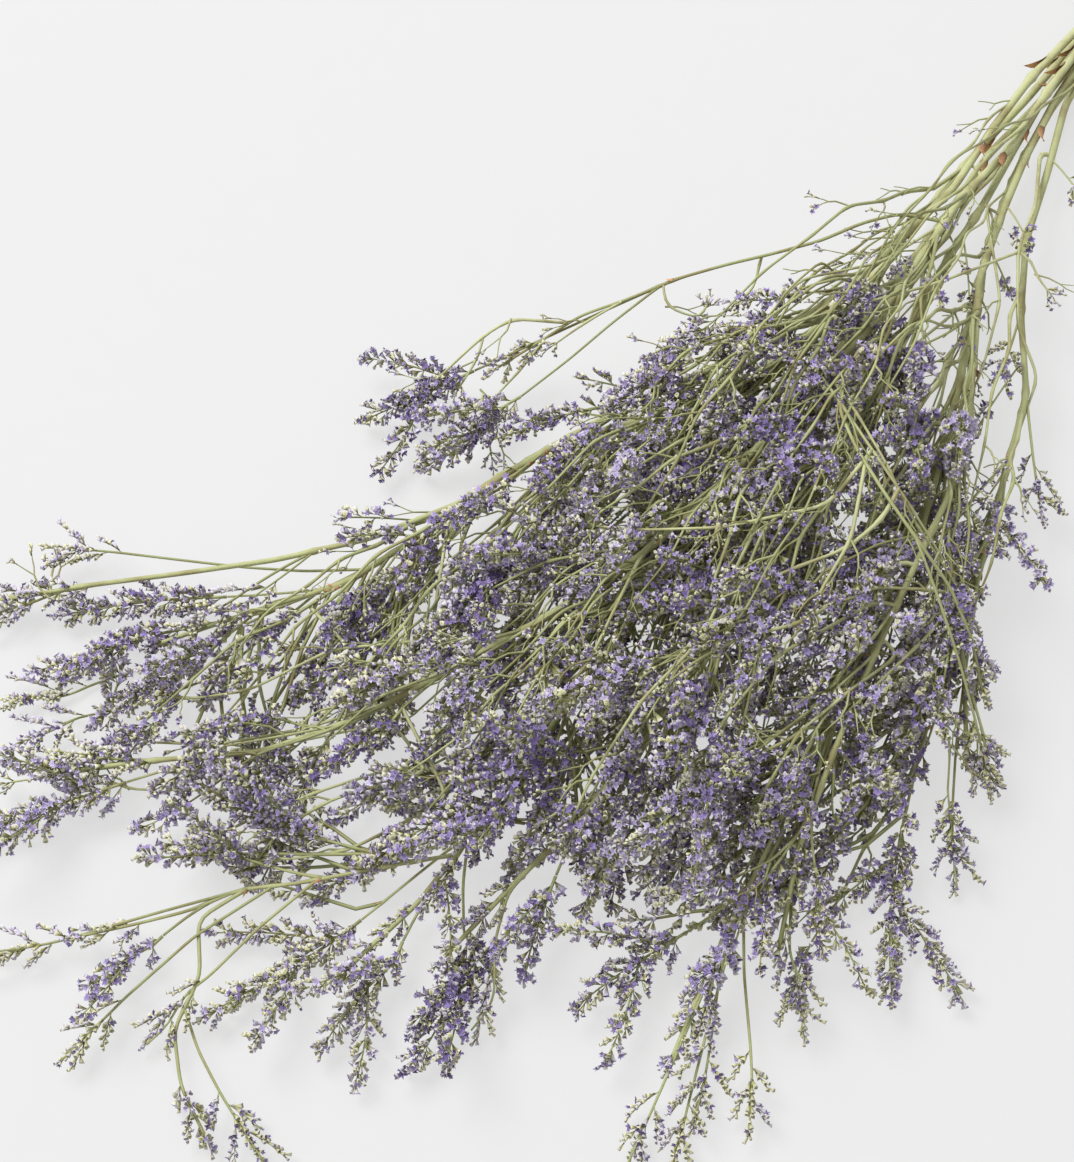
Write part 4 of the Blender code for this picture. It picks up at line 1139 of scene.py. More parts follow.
def inside(points, outline):
    """Whether each point of a plan lies within a closed outline."""
    x, y = points[:, 0], points[:, 1]
    result = np.zeros(len(points), bool)
    for (x1, y1), (x2, y2) in zip(outline, outline[1:] + outline[:1]):
        crosses = (y1 > y) != (y2 > y)
        result ^= crosses & (x < (x2 - x1) * (y - y1) / (y2 - y1 + 1e-9) + x1)
    return result


def pile_top(spots, axes):
    """How high the pile stands over each spot of the plan, from the heads near it."""
    away = np.linalg.norm(spots[:, None] - axes[None, :, :2], axis=2)
    near = np.exp(-(away / HEAD_NEAR) ** 2)
    top = (near * axes[None, :, 2]).sum(1) / np.maximum(near.sum(1), 1e-9)
    return np.where(near.sum(1) > 0.3, top, EDGE_TOP)


def stalk_roots(woods):
    """The places where a side stalk may leave the wood, the headings there, and the stems."""
    roots, headings, stems = [], [], []
    for stem, kind, path, radii in woods:
        run = lengths_along(path)[-1]
        start = max(ROOT_START, BARE_SHARE * run) if kind == "stem" else ROOT_START
        for s in np.arange(start, run - 2.0, ROOT_STEP):
            roots.append(point_at(path, s))
            headings.append(direction_at(path, s))
            stems.append(stem)
    return np.array(roots), np.array(headings), stems


def root_costs(tip, roots, headings, wanted, spread):
    """How ill each root suits a tip: its stalk isn't of the wanted length, or it turns back."""
    offset = tip - roots
    reach = np.linalg.norm(offset, axis=1)
    along = (offset * headings).sum(1) / np.maximum(reach, 1e-6)
    return np.abs(reach - wanted) + spread * (1.0 - along), reach


def side_stalk(start, heading, tip, rise, rng):
    """A curved stalk from a root to a tip, with a node at each turn, and the axis of its spray."""
    lead = unit(tip - start)
    span = np.linalg.norm(tip - start)
    end = unit(lead + END_WANDER * rng.normal(0, 1, 3) + SPRAY_SAG * (tip[2] > SAG_ABOVE))
    curve = bezier(start, start + unit(lead + STALK_PULL * heading) * span * STALK_HANDLES[0],
                   tip - end * span * STALK_HANDLES[1], tip, STALK_POINTS)
    t = np.linspace(0, 1, STALK_POINTS)
    curve[:, 2] = np.maximum(curve[:, 2], np.minimum(STALK_FLOOR, start[2] + STALK_FLOOR * t))
    hump = np.sin(math.pi * t) ** 2
    curve[:, 2] += rise * hump
    curve[:, 2] -= max(0.0, curve[:, 2].max() - ARCH_TOP) * hump
    total = lengths_along(curve)[-1]
    base = total - min(SPRAY_LENGTH * rng.uniform(*SPRAY_SPREAD), SPRAY_SHARE * total)
    axis = points_along(curve, np.linspace(base, total, AXIS_POINTS))
    nodes = max(3, int(base / (NODE_STEP * rng.uniform(*NODE_SPREAD))) + 1)
    stalk = points_along(curve, np.linspace(0.0, base, nodes))
    turns = np.where(np.arange(nodes - 2) % 2, 1.0, -1.0) * rng.uniform(*ZIGZAG_SPREAD, nodes - 2)
    stalk[1:-1] += level_side(lead) * (ZIGZAG * turns)[:, None]
    return stalk, axis


@functools.lru_cache(maxsize=1)
def side_sprays():
    """Small sprays that fill the pile: each candidate place takes the nearest stem that runs towards it.
    Each has its stem, its stalk, its axis, its tip and whether it is at the top, inside or low."""
    grown = grown_plan()
    rng = np.random.default_rng(FILL_SEED)
    xs, ys = zip(*PILE)
    spots = rng.uniform((min(xs), min(ys)), (max(xs), max(ys)), (FILL_TRIES, 2))
    spots = spots[inside(spots, PILE)]
    axes = [axis for stem, several in grown.heads.values() for axis in several]
    taken = np.concatenate([smooth_through(axis, SMOOTH_STEP) for axis in axes])
    ceiling = pile_top(spots, taken)
    share = rng.uniform(0.0, 1.0, len(spots)) ** FILL_LOW
    height = FILL_FLOOR + share * np.maximum(ceiling - 6.0, 4.0)
    places = np.column_stack([spots, height])
    roots, headings, stems = stalk_roots(grown.woods)
    spacing = np.where(inside(spots, CORE), CORE_SPACING, EDGE_SPACING)

    def gaps_to(samples):
        away = (places[:, None] - samples[None]) * (1.0, 1.0, HEIGHT_WEIGHT)
        return np.linalg.norm(away, axis=2).min(1) / spacing

    gap = gaps_to(taken)
    sprays = []
    while gap.max() > 1.0:
        pick = int(gap.argmax())
        tip = places[pick]
        wanted = FILL_BACK * rng.uniform(*BACK_SPREAD)
        if rng.uniform() < LONG_SHARE:
            wanted = FILL_BACK * rng.uniform(*LONG_SPREAD)
        cost, reach = root_costs(tip, roots, headings, wanted, rng.uniform(*TURN_COST))
        root = int((cost + np.where(reach < SHORT_STALK, SHORT_COST, 0.0)).argmin())
        rise = 0.0
        if rng.uniform() < OVER_SHARE:
            rise = max(0.0, ceiling[pick] + OVER_RISE - 0.5 * (roots[root][2] + tip[2]))
        stalk, axis = side_stalk(roots[root], headings[root], tip, rise, rng)
        level = "top" if tip[2] > ceiling[pick] - TOP_DEPTH else "inside"
        sprays.append((stems[root], stalk, axis, tip, level))
        gap = np.minimum(gap, gaps_to(smooth_through(axis, SMOOTH_STEP)))
        gap[pick] = 0.0
    low = places[inside(spots, CORE)][:LOW_COUNT]
    low[:, 2] = rng.uniform(*LOW_HEIGHT, len(low))
    for tip in low:
        cost, reach = root_costs(tip, roots, headings, rng.uniform(*LOW_BACK),
                                 rng.uniform(*LOW_TURN_COST))
        root = int((cost + HEIGHT_COST * roots[:, 2]).argmin())
        stalk, axis = side_stalk(roots[root], headings[root], tip, 0.0, rng)
        sprays.append((stems[root], stalk, axis, tip, "low"))
    return sprays


# Materials

SPECULAR_LEVEL = 0.3
FLOOR_PAINTED_GLOW = 0.635          # painted light: the floor glows by itself, which lifts the shadows on the table


class Look:
    """A procedural material, built from sockets and plain colours that feed each other."""

    def __init__(self, name, roughness):
        self.made = bpy.data.materials.new(name)
        self.made.use_nodes = True
        self.inputs = self.made.node_tree.nodes["Principled BSDF"].inputs
        self.inputs["Roughness"].default_value = roughness
        self.inputs["Specular IOR Level"].default_value = SPECULAR_LEVEL

    def node(self, kind, **settings):
        node = self.made.node_tree.nodes.new(kind)
        for name, value in settings.items():
            setattr(node, name, value)
        return node

    def put(self, value, socket):
        """Links a socket to another, or gives it a plain number or colour."""
        if isinstance(value, bpy.types.NodeSocket):
            self.made.node_tree.links.new(value, socket)
        elif isinstance(value, (int, float)):
            socket.default_value = value
        else:
            socket.default_value = (*value, 1.0)

    def read(self, label, output="Fac"):
        """What the mesh carries at each vertex."""
        return self.node("ShaderNodeAttribute", attribute_name=label).outputs[output]

    def place(self):
        return self.node("ShaderNodeTexCoord").outputs["Object"]

    def ramp(self, factor, *stops):
        """A colour ramp; each stop is a place and a linear colour."""
        node = self.node("ShaderNodeValToRGB")
        elements = node.color_ramp.elements
        while len(elements) < len(stops):
            elements.new(0.5)
        for element, (place, colour) in zip(elements, stops):
            element.position = place
            element.color = (*colour, 1.0)
        self.put(factor, node.inputs["Fac"])
        return node.outputs["Color"]

    def noise(self, vector, scale, detail):
        node = self.node("ShaderNodeTexNoise")
        node.inputs["Scale"].default_value = scale
        node.inputs["Detail"].default_value = detail
        self.put(vector, node.inputs["Vector"])
        return node.outputs["Fac"]

    def mapped(self, value, low, high, to_low=0.0, to_high=1.0):
        node = self.node("ShaderNodeMapRange")
        for label, number in (("From Min", low), ("From Max", high), ("To Min", to_low),
                              ("To Max", to_high)):
            node.inputs[label].default_value = number
        self.put(value, node.inputs["Value"])
        return node.outputs["Result"]

    def mixed(self, factor, first, second):
        node = self.node("ShaderNodeMix", data_type="RGBA")
        for index, value in ((0, factor), (6, first), (7, second)):
            self.put(value, node.inputs[index])
        return node.outputs[2]

    def finish(self, base, relief, strength, depth):
        """Puts the base colour on, and a fine relief of this depth in metres."""
        self.put(base, self.inputs["Base Color"])
        node = self.node("ShaderNodeBump")
        node.inputs["Strength"].default_value = strength
        node.inputs["Distance"].default_value = depth
        self.put(relief, node.inputs["Height"])
        self.put(node.outputs["Normal"], self.inputs["Normal"])
        return self.made


def times(colour, factor):
    return tuple(factor * value for value in colour)


def stem_look(colours):
    """Dried stem: long fibres, paler where it is old and thick, browned in patches."""
    look = Look("dried stem", 0.62)
    base = look.ramp(look.read("height"), (0.0, colours.stem_old), (0.5, colours.stem),
                     (1.0, colours.stem_young))
    fibre = look.noise(look.read("grain", "Vector"), 4.5, 4.0)
    base = look.mixed(look.mapped(fibre, 0.35, 0.7, 0.0, 0.6), base, times(colours.stem_old, 1.15))
    young = look.mapped(look.read("tint"), 0.0, 1.0, 0.55, 0.0)
    base = look.mixed(young, base, times(colours.stem_young, 0.62))
    patches = look.noise(look.place(), 55.0, 4.0)
    base = look.mixed(look.mapped(patches, 0.47, 0.66, 0.0, 0.6), base, times(colours.calyx_foot, 1.7))
    look.put(look.mapped(fibre, 0.3, 0.7, 0.5, 0.75), look.inputs["Roughness"])
    return look.finish(base, fibre, 0.35, 0.0003)


def calyx_look(colours):
    """Papery calyx: brown at the foot, olive along the tube, cream or lilac at the mouth."""
    look = Look("dried calyx", 0.8)
    height = look.read("height")
    cream = look.ramp(height, (0.0, colours.calyx_foot), (0.3, colours.calyx_tube),
                      (0.68, times(colours.calyx_tube, 1.5)), (1.0, colours.calyx_mouth))
    lilac = look.ramp(height, (0.0, colours.calyx_foot), (0.35, times(colours.calyx_tube, 0.8)),
                      (0.75, times(colours.lavender, 0.75)), (1.0, colours.calyx_lilac))
    base = look.mixed(look.mapped(look.read("tint"), 0.45, 0.75), cream, lilac)
    speck = look.noise(look.place(), 900.0, 2.0)
    base = look.mixed(look.mapped(speck, 0.5, 0.75, 0.0, 0.5), base, colours.calyx_foot)
    return look.finish(base, speck, 0.3, 0.0002)


def petal_look(colours):
    """Dried petals: dark violet in the throat, lavender at the edge."""
    look = Look("dried petals", 0.72)
    edge = look.ramp(look.read("tint"), (0.0, colours.violet_dark), (0.5, colours.violet),
                     (1.0, colours.lavender))
    throat = look.mixed(0.6, edge, colours.violet_dark)
    base = look.mixed(look.mapped(look.read("height"), 0.3, 0.95), throat, edge)
    crease = look.noise(look.place(), 1300.0, 2.0)
    base = look.mixed(look.mapped(crease, 0.45, 0.75, 0.0, 0.4), base, colours.violet_dark)
    return look.finish(base, crease, 0.4, 0.0002)


def bract_look(colours):
    """Thin brown scale: dark where it sits, pale pinkish tan at its torn edge."""
    look = Look("dried bract", 0.75)
    base = look.ramp(look.read("height"), (0.0, times(colours.bract, 0.4)), (0.3, colours.bract),
                     (1.0, times(colours.bract, 1.5)))
    vein = look.noise(look.read("grain", "Vector"), 5.0, 3.0)
    base = look.mixed(look.mapped(vein, 0.5, 0.75, 0.0, 0.5), base, times(colours.bract, 0.45))
    return look.finish(base, vein, 0.4, 0.0003)


def cut_look(colours):
    """The cut end of a stem: pale pith with darker pores."""
    look = Look("cut end", 0.85)
    pores = look.noise(look.place(), 2600.0, 3.0)
    base = look.mixed(look.mapped(pores, 0.4, 0.65), colours.pith, times(colours.pith, 0.55))
    return look.finish(base, pores, 0.5, 0.0003)


def cord_look(colours):
    """Jute cord: fibres along the twist, with painted shade that darkens the furrow between the plies."""
    look = Look("jute cord", 0.9)
    fibre = look.noise(look.read("grain", "Vector"), 7.0, 4.0)
    base = look.mixed(look.mapped(fibre, 0.3, 0.7), times(colours.cord, 0.7), times(colours.cord, 1.25))
    # Painted shade: the furrows between the plies are darkened.
    furrow = look.mapped(look.read("height"), 0.0, 1.0, 0.7, 0.0)
    base = look.mixed(furrow, base, times(colours.cord, 0.3))
    return look.finish(base, fibre, 0.6, 0.0004)


def floor_look(colours):
    """Pale paper, with no relief, that glows by itself: a painted light that lifts the shadows on it."""
    look = Look("pale paper floor with painted glow", 0.9)
    tooth = look.mapped(look.noise(look.place(), 60.0, 4.0), 0.3, 0.7)
    look.put(look.mixed(tooth, times(colours.floor, 0.98), colours.floor), look.inputs["Base Color"])
    # Painted light: the floor glows though it is no lamp, and so lifts the shadows on the table.
    look.put((1.0, 1.0, 1.0), look.inputs["Emission Color"])
    look.put(FLOOR_PAINTED_GLOW, look.inputs["Emission Strength"])
    return look.made


@functools.lru_cache(maxsize=1)
def finishes():
    """The materials by name, made once from the colours in the sidebar."""
    makers = {"stem": stem_look, "calyx": calyx_look, "petal": petal_look, "bract": bract_look,
              "cut": cut_look, "cord": cord_look, "floor": floor_look}
    return {name: make(bpy.context.scene.statice_colours) for name, make in makers.items()}


# Pieces

def add_bract(batch, root, heading, out, length, width, rng):
    """A thin pointed scale that clasps the stem at its foot and stands off at its tip."""
    side = np.cross(heading, out)
    rows = BRACT_ROWS
    points = []
    for i in range(rows):
        t = i / (rows - 1)
        half = width * math.sin(math.pi * (0.22 + 0.78 * t)) ** 0.8 if t < 1 else 0.0
        middle = root + heading * length * t + out * (0.4 + length * 0.42 * t * t)
        for across in (-1.0, 0.0, 1.0):
            hug = -0.6 * half * abs(across)
            points.append(middle + side * half * across + out * hug)
    points = np.array(points) + rng.normal(0, 0.08, (3 * rows, 3))
    faces = []
    for i in range(rows - 1):
        for j in range(2):
            a = 3 * i + j
            faces += [(a, a + 1, a + 4), (a, a + 4, a + 3)]
    height = np.repeat(np.linspace(0, 1, rows), 3)
    grain = np.stack([np.tile([-1.0, 0.0, 1.0], rows), height * 0.4, np.zeros(3 * rows)], 1)
    batch.add(points, np.array(faces), BRACT_SLOT, height, rng.uniform(0, 1), grain)


def add_cut_end(batch, path, radius):
    """A disc that closes the cut stem with its own pith."""
    tangents, across, up = frames(path)
    sides = 12
    angle = angles_round(sides)
    ring = across[0] * np.cos(angle)[:, None] + up[0] * np.sin(angle)[:, None]
    centre = path[0] - tangents[0] * 0.15
    points = np.vstack([centre, centre + ring * radius * 0.93])
    j = np.arange(sides)
    batch.add(points, fan(0, 1 + (j + 1) % sides, 1 + j), CUT_SLOT, 0.5, 0.5)


def add_grown_wood(wood, flowers, kind, path, radii, branches, side_roots, rng):
    """A stem, limb or stalk, swollen where the branches and side stalks leave it, with bracts at some of
    these nodes, and with spikelets at its tip if that is bare."""
    closer, thick = soft_corners(path, radii * WOOD_SHARE[kind], 3.5)
    run = lengths_along(closer)
    nodes = []
    for root in branches + side_roots:
        away = np.linalg.norm(closer - root, axis=1)
        if away.min() < NODE_NEAR:
            nodes.append(run[int(away.argmin())])
    if kind == "stem":
        add_wood(wood, closer, thick, 10, rng.uniform(0.5, 1), rib=0.05, swellings=nodes,
                 age=(0.0, 0.75))
        add_cut_end(wood, closer, thick[0])
    else:
        add_wood(wood, closer, thick * rng.uniform(0.85, 1.0), 6, rng.uniform(0, 1), rib=0.04,
                 swellings=nodes, age=(0.35, 0.9))
    for node in nodes:
        if rng.uniform() < NODE_BRACTS:
            heading = direction_at(closer, node)
            out = around(heading, rng.uniform(0, ANY_TURN))
            radius = float(np.interp(node, run, thick))
            add_bract(wood, point_at(closer, node) + out * radius * 0.9, heading, out,
                      NODE_BRACT_LENGTH[0] + NODE_BRACT_LENGTH[1] * radius,
                      NODE_BRACT_WIDTH[0] + NODE_BRACT_WIDTH[1] * radius, rng)
    end_clear = all(np.linalg.norm(root - path[-1]) > LIMB_END_CLEAR for root in branches)
    if kind == "stem" or kind == "limb" and end_clear:
        tip = smooth_through(closer[run > run[-1] - TIP_SPRAY[kind]], SMOOTH_STEP)
        bloom, tone = mood(tip[-1], rng)
        flowers.panicle(tip, 0.7 * bloom, tone, TIP_PITCH, TIP_REACH)


def add_comb(wood, flowers, path, rng):
    """A bare comb of calyces with two smaller ones to each side of it."""
    run = lengths_along(path)[-1]
    start = point_at(path, 0.0)
    heading = unit(path[-1] - path[0])
    bloom = rng.uniform(0.05, 0.5)
    tone = rng.uniform(0.2, 0.9)
    flowers.spikelet(point_at(path, 0.2 * run), heading, UP, 0.8 * run, bloom, tone, fine=True)
    level = level_side(heading)
    for share, turn in ((0.0, 1.0), (0.18, -1.0), (0.4, 1.0), (0.55, -1.0)):
        aim = unit(heading + turn * rng.uniform(0.45, 0.8) * level + UP * rng.uniform(-0.05, 0.25))
        face = unit(UP + turn * 0.5 * level)
        flowers.spikelet(start + heading * share * run, aim, face, rng.uniform(11, 19), bloom, tone,
                         fine=True)


def add_side_spray(wood, flowers, stalk, axis, tip, level, rng):
    """A side stalk with its branchlets and its spray, fullest at the top of the pile. Its petals are
    painted lighter at the top and darker inside and low in the pile, as painted light and shade.
    """
    if level == "low":
        # Painted shade: low in the pile the twig gets a darker tint and its petals a dark tone.
        line = np.vstack([stalk[:-1], axis])
        add_wood(wood, line, taper(line, 0.9, 0.4), 4, rng.uniform(0, 0.5), capped=False, age=(0.6, 1.0))
        flowers.panicle(axis, 0.35, 0.2, LOW_PITCH, LOW_REACH)
        return
    closer, thick = soft_corners(stalk, taper(stalk, rng.uniform(*STALK_RADIUS), AXIS_RADII[0]), 4.0)
    add_wood(wood, closer, thick, 5, rng.uniform(0.2, 1), capped=False, age=(0.15, 0.8),
             swellings=lengths_along(stalk)[1:-1])
    for node in stalk[1:-1]:
        add_branchlet(wood, flowers, node, unit(stalk[-1] - stalk[0]), rng)
    line = smooth_through(axis, SMOOTH_STEP)
    add_wood(wood, line, taper(line, *AXIS_RADII), 4, rng.uniform(0, 1), age=(0.7, 1.0))
    bloom, tone = mood(tip, rng)
    # Painted light and shade: sprays at the top of the pile get lighter petals, those inside darker ones.
    if level == "top":
        flowers.panicle(axis, bloom + TOP_BLOOM, tone + TOP_PAINTED_LIGHT, TOP_PITCH, TOP_REACH, TOP_SIZE)
    else:
        flowers.panicle(axis, bloom, tone + INSIDE_PAINTED_SHADE, INSIDE_PITCH, INSIDE_REACH)


def add_branchlet(wood, flowers, root, heading, rng):
    """A thin bent branchlet that leaves a stalk at a node and forks, with a few buds at its ends."""
    bare = root[1] > BUDS_BELOW
    if rng.uniform() > (BARE_BRANCHLET_SHARE if bare else BRANCHLET_SHARE):
        return
    level = level_side(heading)
    turn = 1.0 if rng.uniform() < 0.5 else -1.0
    rise = np.array([0.0, 0.0, rng.uniform(-0.2, 0.5)])
    aim = unit(heading + turn * rng.uniform(0.4, 0.9) * level + rise)
    fork = root + aim * rng.uniform(*BRANCHLET_LENGTH)
    bend = 0.5 * (root + fork) + turn * level * rng.uniform(0.6, 1.8)
    trunk = np.array([root, bend, fork])
    trunk[:, 2] = np.maximum(trunk[:, 2], WOOD_FLOOR)
    add_wood(wood, trunk, BRANCHLET_RADII, 4, rng.uniform(0, 1), capped=False, age=(0.3, 0.9))
    for way in (0.5, -0.5):
        side = unit(aim + way * rng.uniform(0.4, 1.3) * level)
        end = fork + side * rng.uniform(*TWIGLET_LENGTH)
        knee = 0.5 * (fork + end) + way * level * rng.uniform(-1.0, 1.6)
        twig = np.array([trunk[-1], knee, end])
        twig[:, 2] = np.maximum(twig[:, 2], WOOD_FLOOR)
        add_wood(wood, twig, TWIGLET_RADII, 4, rng.uniform(0, 1), capped=False, age=(0.4, 1.0))
        if not bare or rng.uniform() < 0.4:
            flowers.spikelet(twig[-1], side, UP, rng.uniform(*BUD_LENGTH), 0.4, rng.uniform(0.2, 0.8),
                             size=0.8, fine=True)


def add_thin_branch(wood, flowers, radius, end, places, grown_wood, rng):
    """A thin branch from the nearest wood of its stem through its places, with nodes and branchlets."""
    places = np.array(places, float)
    first = grown_wood[np.linalg.norm(grown_wood - places[0], axis=1).argmin()]
    route = np.vstack([first, places[1:] if np.linalg.norm(first - places[0]) < NODE_NEAR else places])
    path, thick = soft_corners(route, taper(route, radius, 0.45), 4.0)
    add_wood(wood, path, thick, 6, rng.uniform(0.75, 1), capped=False,
             swellings=lengths_along(route)[1:-1], age=(0.0, 0.5))
    for node in route[1:-1]:
        add_branchlet(wood, flowers, node, unit(path[-1] - path[0]), rng)
    if end == "spray":
        run = lengths_along(path)
        tip = smooth_through(path[run > run[-1] - 0.6 * SPRAY_LENGTH], 5.0)
        bloom, tone = mood(path[-1], rng)
        flowers.panicle(tip, bloom, tone, SPRAY_PITCH, SPRAY_REACH)
    else:
        heading = unit(route[-1] - route[-2])
        level = level_side(heading)
        for turn in (0.0, 0.7, -0.8):
            flowers.spikelet(path[-1] - heading * abs(turn) * 2.5, unit(heading + turn * level), UP,
                             rng.uniform(4.0, 8.0), 0.5, rng.uniform(0.2, 0.8), size=0.85, fine=True)
    return path


def mood(place, rng):
    """How much of a spray is in bloom, and how light its petals are: a little lighter at the left tips of
    the fan, and sparser at the lower ones."""
    left = np.clip((-place[0] - LEFT_START) / LEFT_WIDTH, 0.0, 1.0)
    lower = np.clip((-place[1] - LOWER_START) / LOWER_WIDTH, 0.0, 1.0) * (1.0 - left)
    bloom = rng.uniform(*BLOOM) - LOWER_BLOOM * lower * rng.uniform(0, 1)
    return bloom, float(np.clip(rng.normal(TONE + LEFT_TONE * left, TONE_WIDTH), *TONE_RANGE))


def build_stem(letter, sizes):
    """One cut stem with all its branches: a piece of wood with its bracts, and a piece with the florets."""
    grown = grown_plan()
    rng = np.random.default_rng(100 + ord(letter))
    wood, sprays = Batch(), Batch()
    flowers = Spray(sprays, rng, sizes)

    def own(rows):
        return [row[1:] for row in rows if row[0] == letter]

    woods, combs, sides = own(grown.woods), own(grown.combs), own(side_sprays())
    branches = [path[0] for kind, path, radii in woods if kind != "stem"]
    branches += [path[0] for path, radii, count in combs]
    side_roots = [stalk[0] for stalk, axis, tip, level in sides]
    for kind, path, radii in woods:
        add_grown_wood(wood, flowers, kind, path, radii, branches, side_roots, rng)
    for root, heading, out in own(grown.bracts):
        add_bract(wood, root + out * STEM_RADIUS * 0.75, heading, out, BRACT_LENGTH + BRACT_POINT,
                  BRACT_WIDTH, rng)
    for path, radii, count in combs:
        closer, thick = soft_corners(path, radii * COMB_WOOD_SHARE, 3.0)
        add_wood(wood, closer, thick, 5, rng.uniform(0, 1), age=(0.5, 1.0))
        add_comb(wood, flowers, path[count - 1:], rng)
    for path, radii in own(grown.twigs):
        closer, thick = soft_corners(path, radii * TWIG_WOOD_SHARE, 4.0)
        add_wood(wood, closer, thick, 5, rng.uniform(0, 1), age=(0.6, 1.0))
        flowers.panicle(path[2:], 0.6, rng.uniform(0.2, 0.8), TWIG_PITCH, TWIG_REACH)
    for stalk, axis, tip, level in sides:
        add_side_spray(wood, flowers, stalk, axis, tip, level, rng)
    grown_wood = np.concatenate([smooth_through(path, 2.0) for kind, path, radii in woods])
    for radius, end, places in own(THIN_BRANCHES):
        path = add_thin_branch(wood, flowers, radius, end, places, grown_wood, rng)
        grown_wood = np.concatenate([grown_wood, path])
    flowers.finish()
    wood.piece(f"stem_{letter}_wood", WOOD_LOOKS, "dried_stem", [f"stem_{letter}"])
    sprays.piece(f"stem_{letter}_sprays", SPRAY_LOOKS, "dried_flower", [f"stem_{letter}"])


def build_head(name, sizes):
    """A flower head: a thin axis with spikelets all round it, and the same on its side spikes."""
    axes = grown_plan().heads[name][1]
    rng = np.random.default_rng(int(name[-2:]))
    batch = Batch()
    flowers = Spray(batch, rng, sizes)
    bloom, tone = mood(axes[0][-1], rng)
    reach = sizes.spikelet_length * 1000.0
    reach *= np.clip((lengths_along(axes[0])[-1] - 28.0) / 30.0, 0.5, 1.0)      # short heads are slim
    for index, axis in enumerate(axes):
        line = smooth_through(axis, 5.0)
        add_wood(batch, line, taper(line, 0.75 if index == 0 else 0.5, 0.3), 5, rng.uniform(0, 1),
                 age=(0.7, 1.0))
        if index == 0:
            flowers.panicle(axis, bloom, tone, sizes.spray_pitch, reach)
        else:
            flowers.panicle(axis, bloom, tone, 1.15 * sizes.spray_pitch, 0.8 * reach)
    flowers.finish()
    batch.piece(f"{name}_florets", SPRAY_LOOKS, "dried_flower", [name])


# Tie

CORD_RADIUS = TIE_THICKNESS / 2
CORD_SIDES = 8
CORD_LAY = 4.2              # length in which its two plies go round once
PLY_DEPTH = 0.14            # depth of the furrows between them, of the radius
TIE_TURNS = 4
TURN_POINTS = 70
TIE_HALF_WIDTH = SLOT_PITCH + STEM_RADIUS + GAP + TIE_THICKNESS
TIE_TOP = ROW["high"] + STEM_RADIUS + GAP + TIE_THICKNESS
KNOT_CORD = 0.85            # the knot is pulled tight: thickness of its cord, of the rest's
KNOT_POINTS = 48
# One of the knot's two ends, from the top of the tie; the other is opposite
CORD_END = ((0.5, 1.0, 0.8), (4.0, 2.5, 1.6), (8.5, 4.0, 0.2), (12.5, 7.0, -4.0))


def tie_outline(inset, count):
    """Points round the tie, this far inside its outside, from the middle of its top."""
    corner = TIE_CORNER
    dense = []
    for quarter, (sx, sz) in enumerate(((1, 1), (-1, 1), (-1, -1), (1, -1))):
        cx = sx * (TIE_HALF_WIDTH - corner)
        cz = TIE_TOP / 2 + sz * (TIE_TOP / 2 - corner)
        for angle in np.linspace(0, math.pi / 2, 8):
            a = angle + quarter * math.pi / 2
            dense.append((cx + (corner - inset) * math.cos(a), cz + (corner - inset) * math.sin(a)))
    start = [(0.0, TIE_TOP - inset)]
    closed = np.array(start + dense[8:] + dense[:8] + start)
    return points_along(closed, np.linspace(0.0, lengths_along(closed)[-1], count))


def add_cord(batch, path, radius):
    """A two-ply cord: the section is an oval that turns along the path."""
    run = lengths_along(path)
    twist = run * 2 * math.pi / CORD_LAY
    phase = angles_round(CORD_SIDES)[None, :] - twist[:, None]
    wave = np.cos(2 * phase)
    points, faces = tube(path, radius * (1.0 - PLY_DEPTH + PLY_DEPTH * wave))
    grain = np.stack([np.cos(phase), np.sin(phase), np.repeat(run[:, None] * 0.12, CORD_SIDES, 1)], -1)
    height = np.append(np.clip(0.5 + 0.5 * wave, 0, 1).ravel(), (0.5, 0.5))
    grain = np.vstack([grain.reshape(-1, 3), [0, 0, 0], [0, 0, 0]])
    batch.add(points, faces, 0, height, 0.5, grain)


def build_tie():
    """Turns of twisted cord round the stems, with a small knot and two short ends on top."""
    batch = Batch()
    loop = tie_outline(CORD_RADIUS, TURN_POINTS + 1)[:-1]
    y = np.linspace(-1, 1, TIE_TURNS * TURN_POINTS + 1) * (TIE_WIDTH - TIE_THICKNESS) / 2
    index = np.arange(TIE_TURNS * TURN_POINTS + 1) % TURN_POINTS
    add_cord(batch, np.column_stack([loop[index, 0], y, loop[index, 1]]), CORD_RADIUS)
    t = np.linspace(0.0, 2 * math.pi, KNOT_POINTS)
    knot = np.column_stack([1.15 * (np.sin(t) + 2 * np.sin(2 * t)), np.cos(t) - 2 * np.cos(2 * t),
                            TIE_TOP + 0.5 - 0.8 * np.sin(3 * t)])
    add_cord(batch, knot, KNOT_CORD * CORD_RADIUS)
    for turn in (1, -1):
        end = smooth_through([(x * turn, y * turn, TIE_TOP + z) for x, y, z in CORD_END], 0.9)
        add_cord(batch, end, KNOT_CORD * CORD_RADIUS)
    batch.piece("tie_cord_turns", ("cord",), "tie_cord", ["tie"])


# Settings in the sidebar

def colour(name, description, default):
    return FloatVectorProperty(name=name, description=description, default=default, subtype="COLOR",
                               size=3, min=0.0, max=1.0)


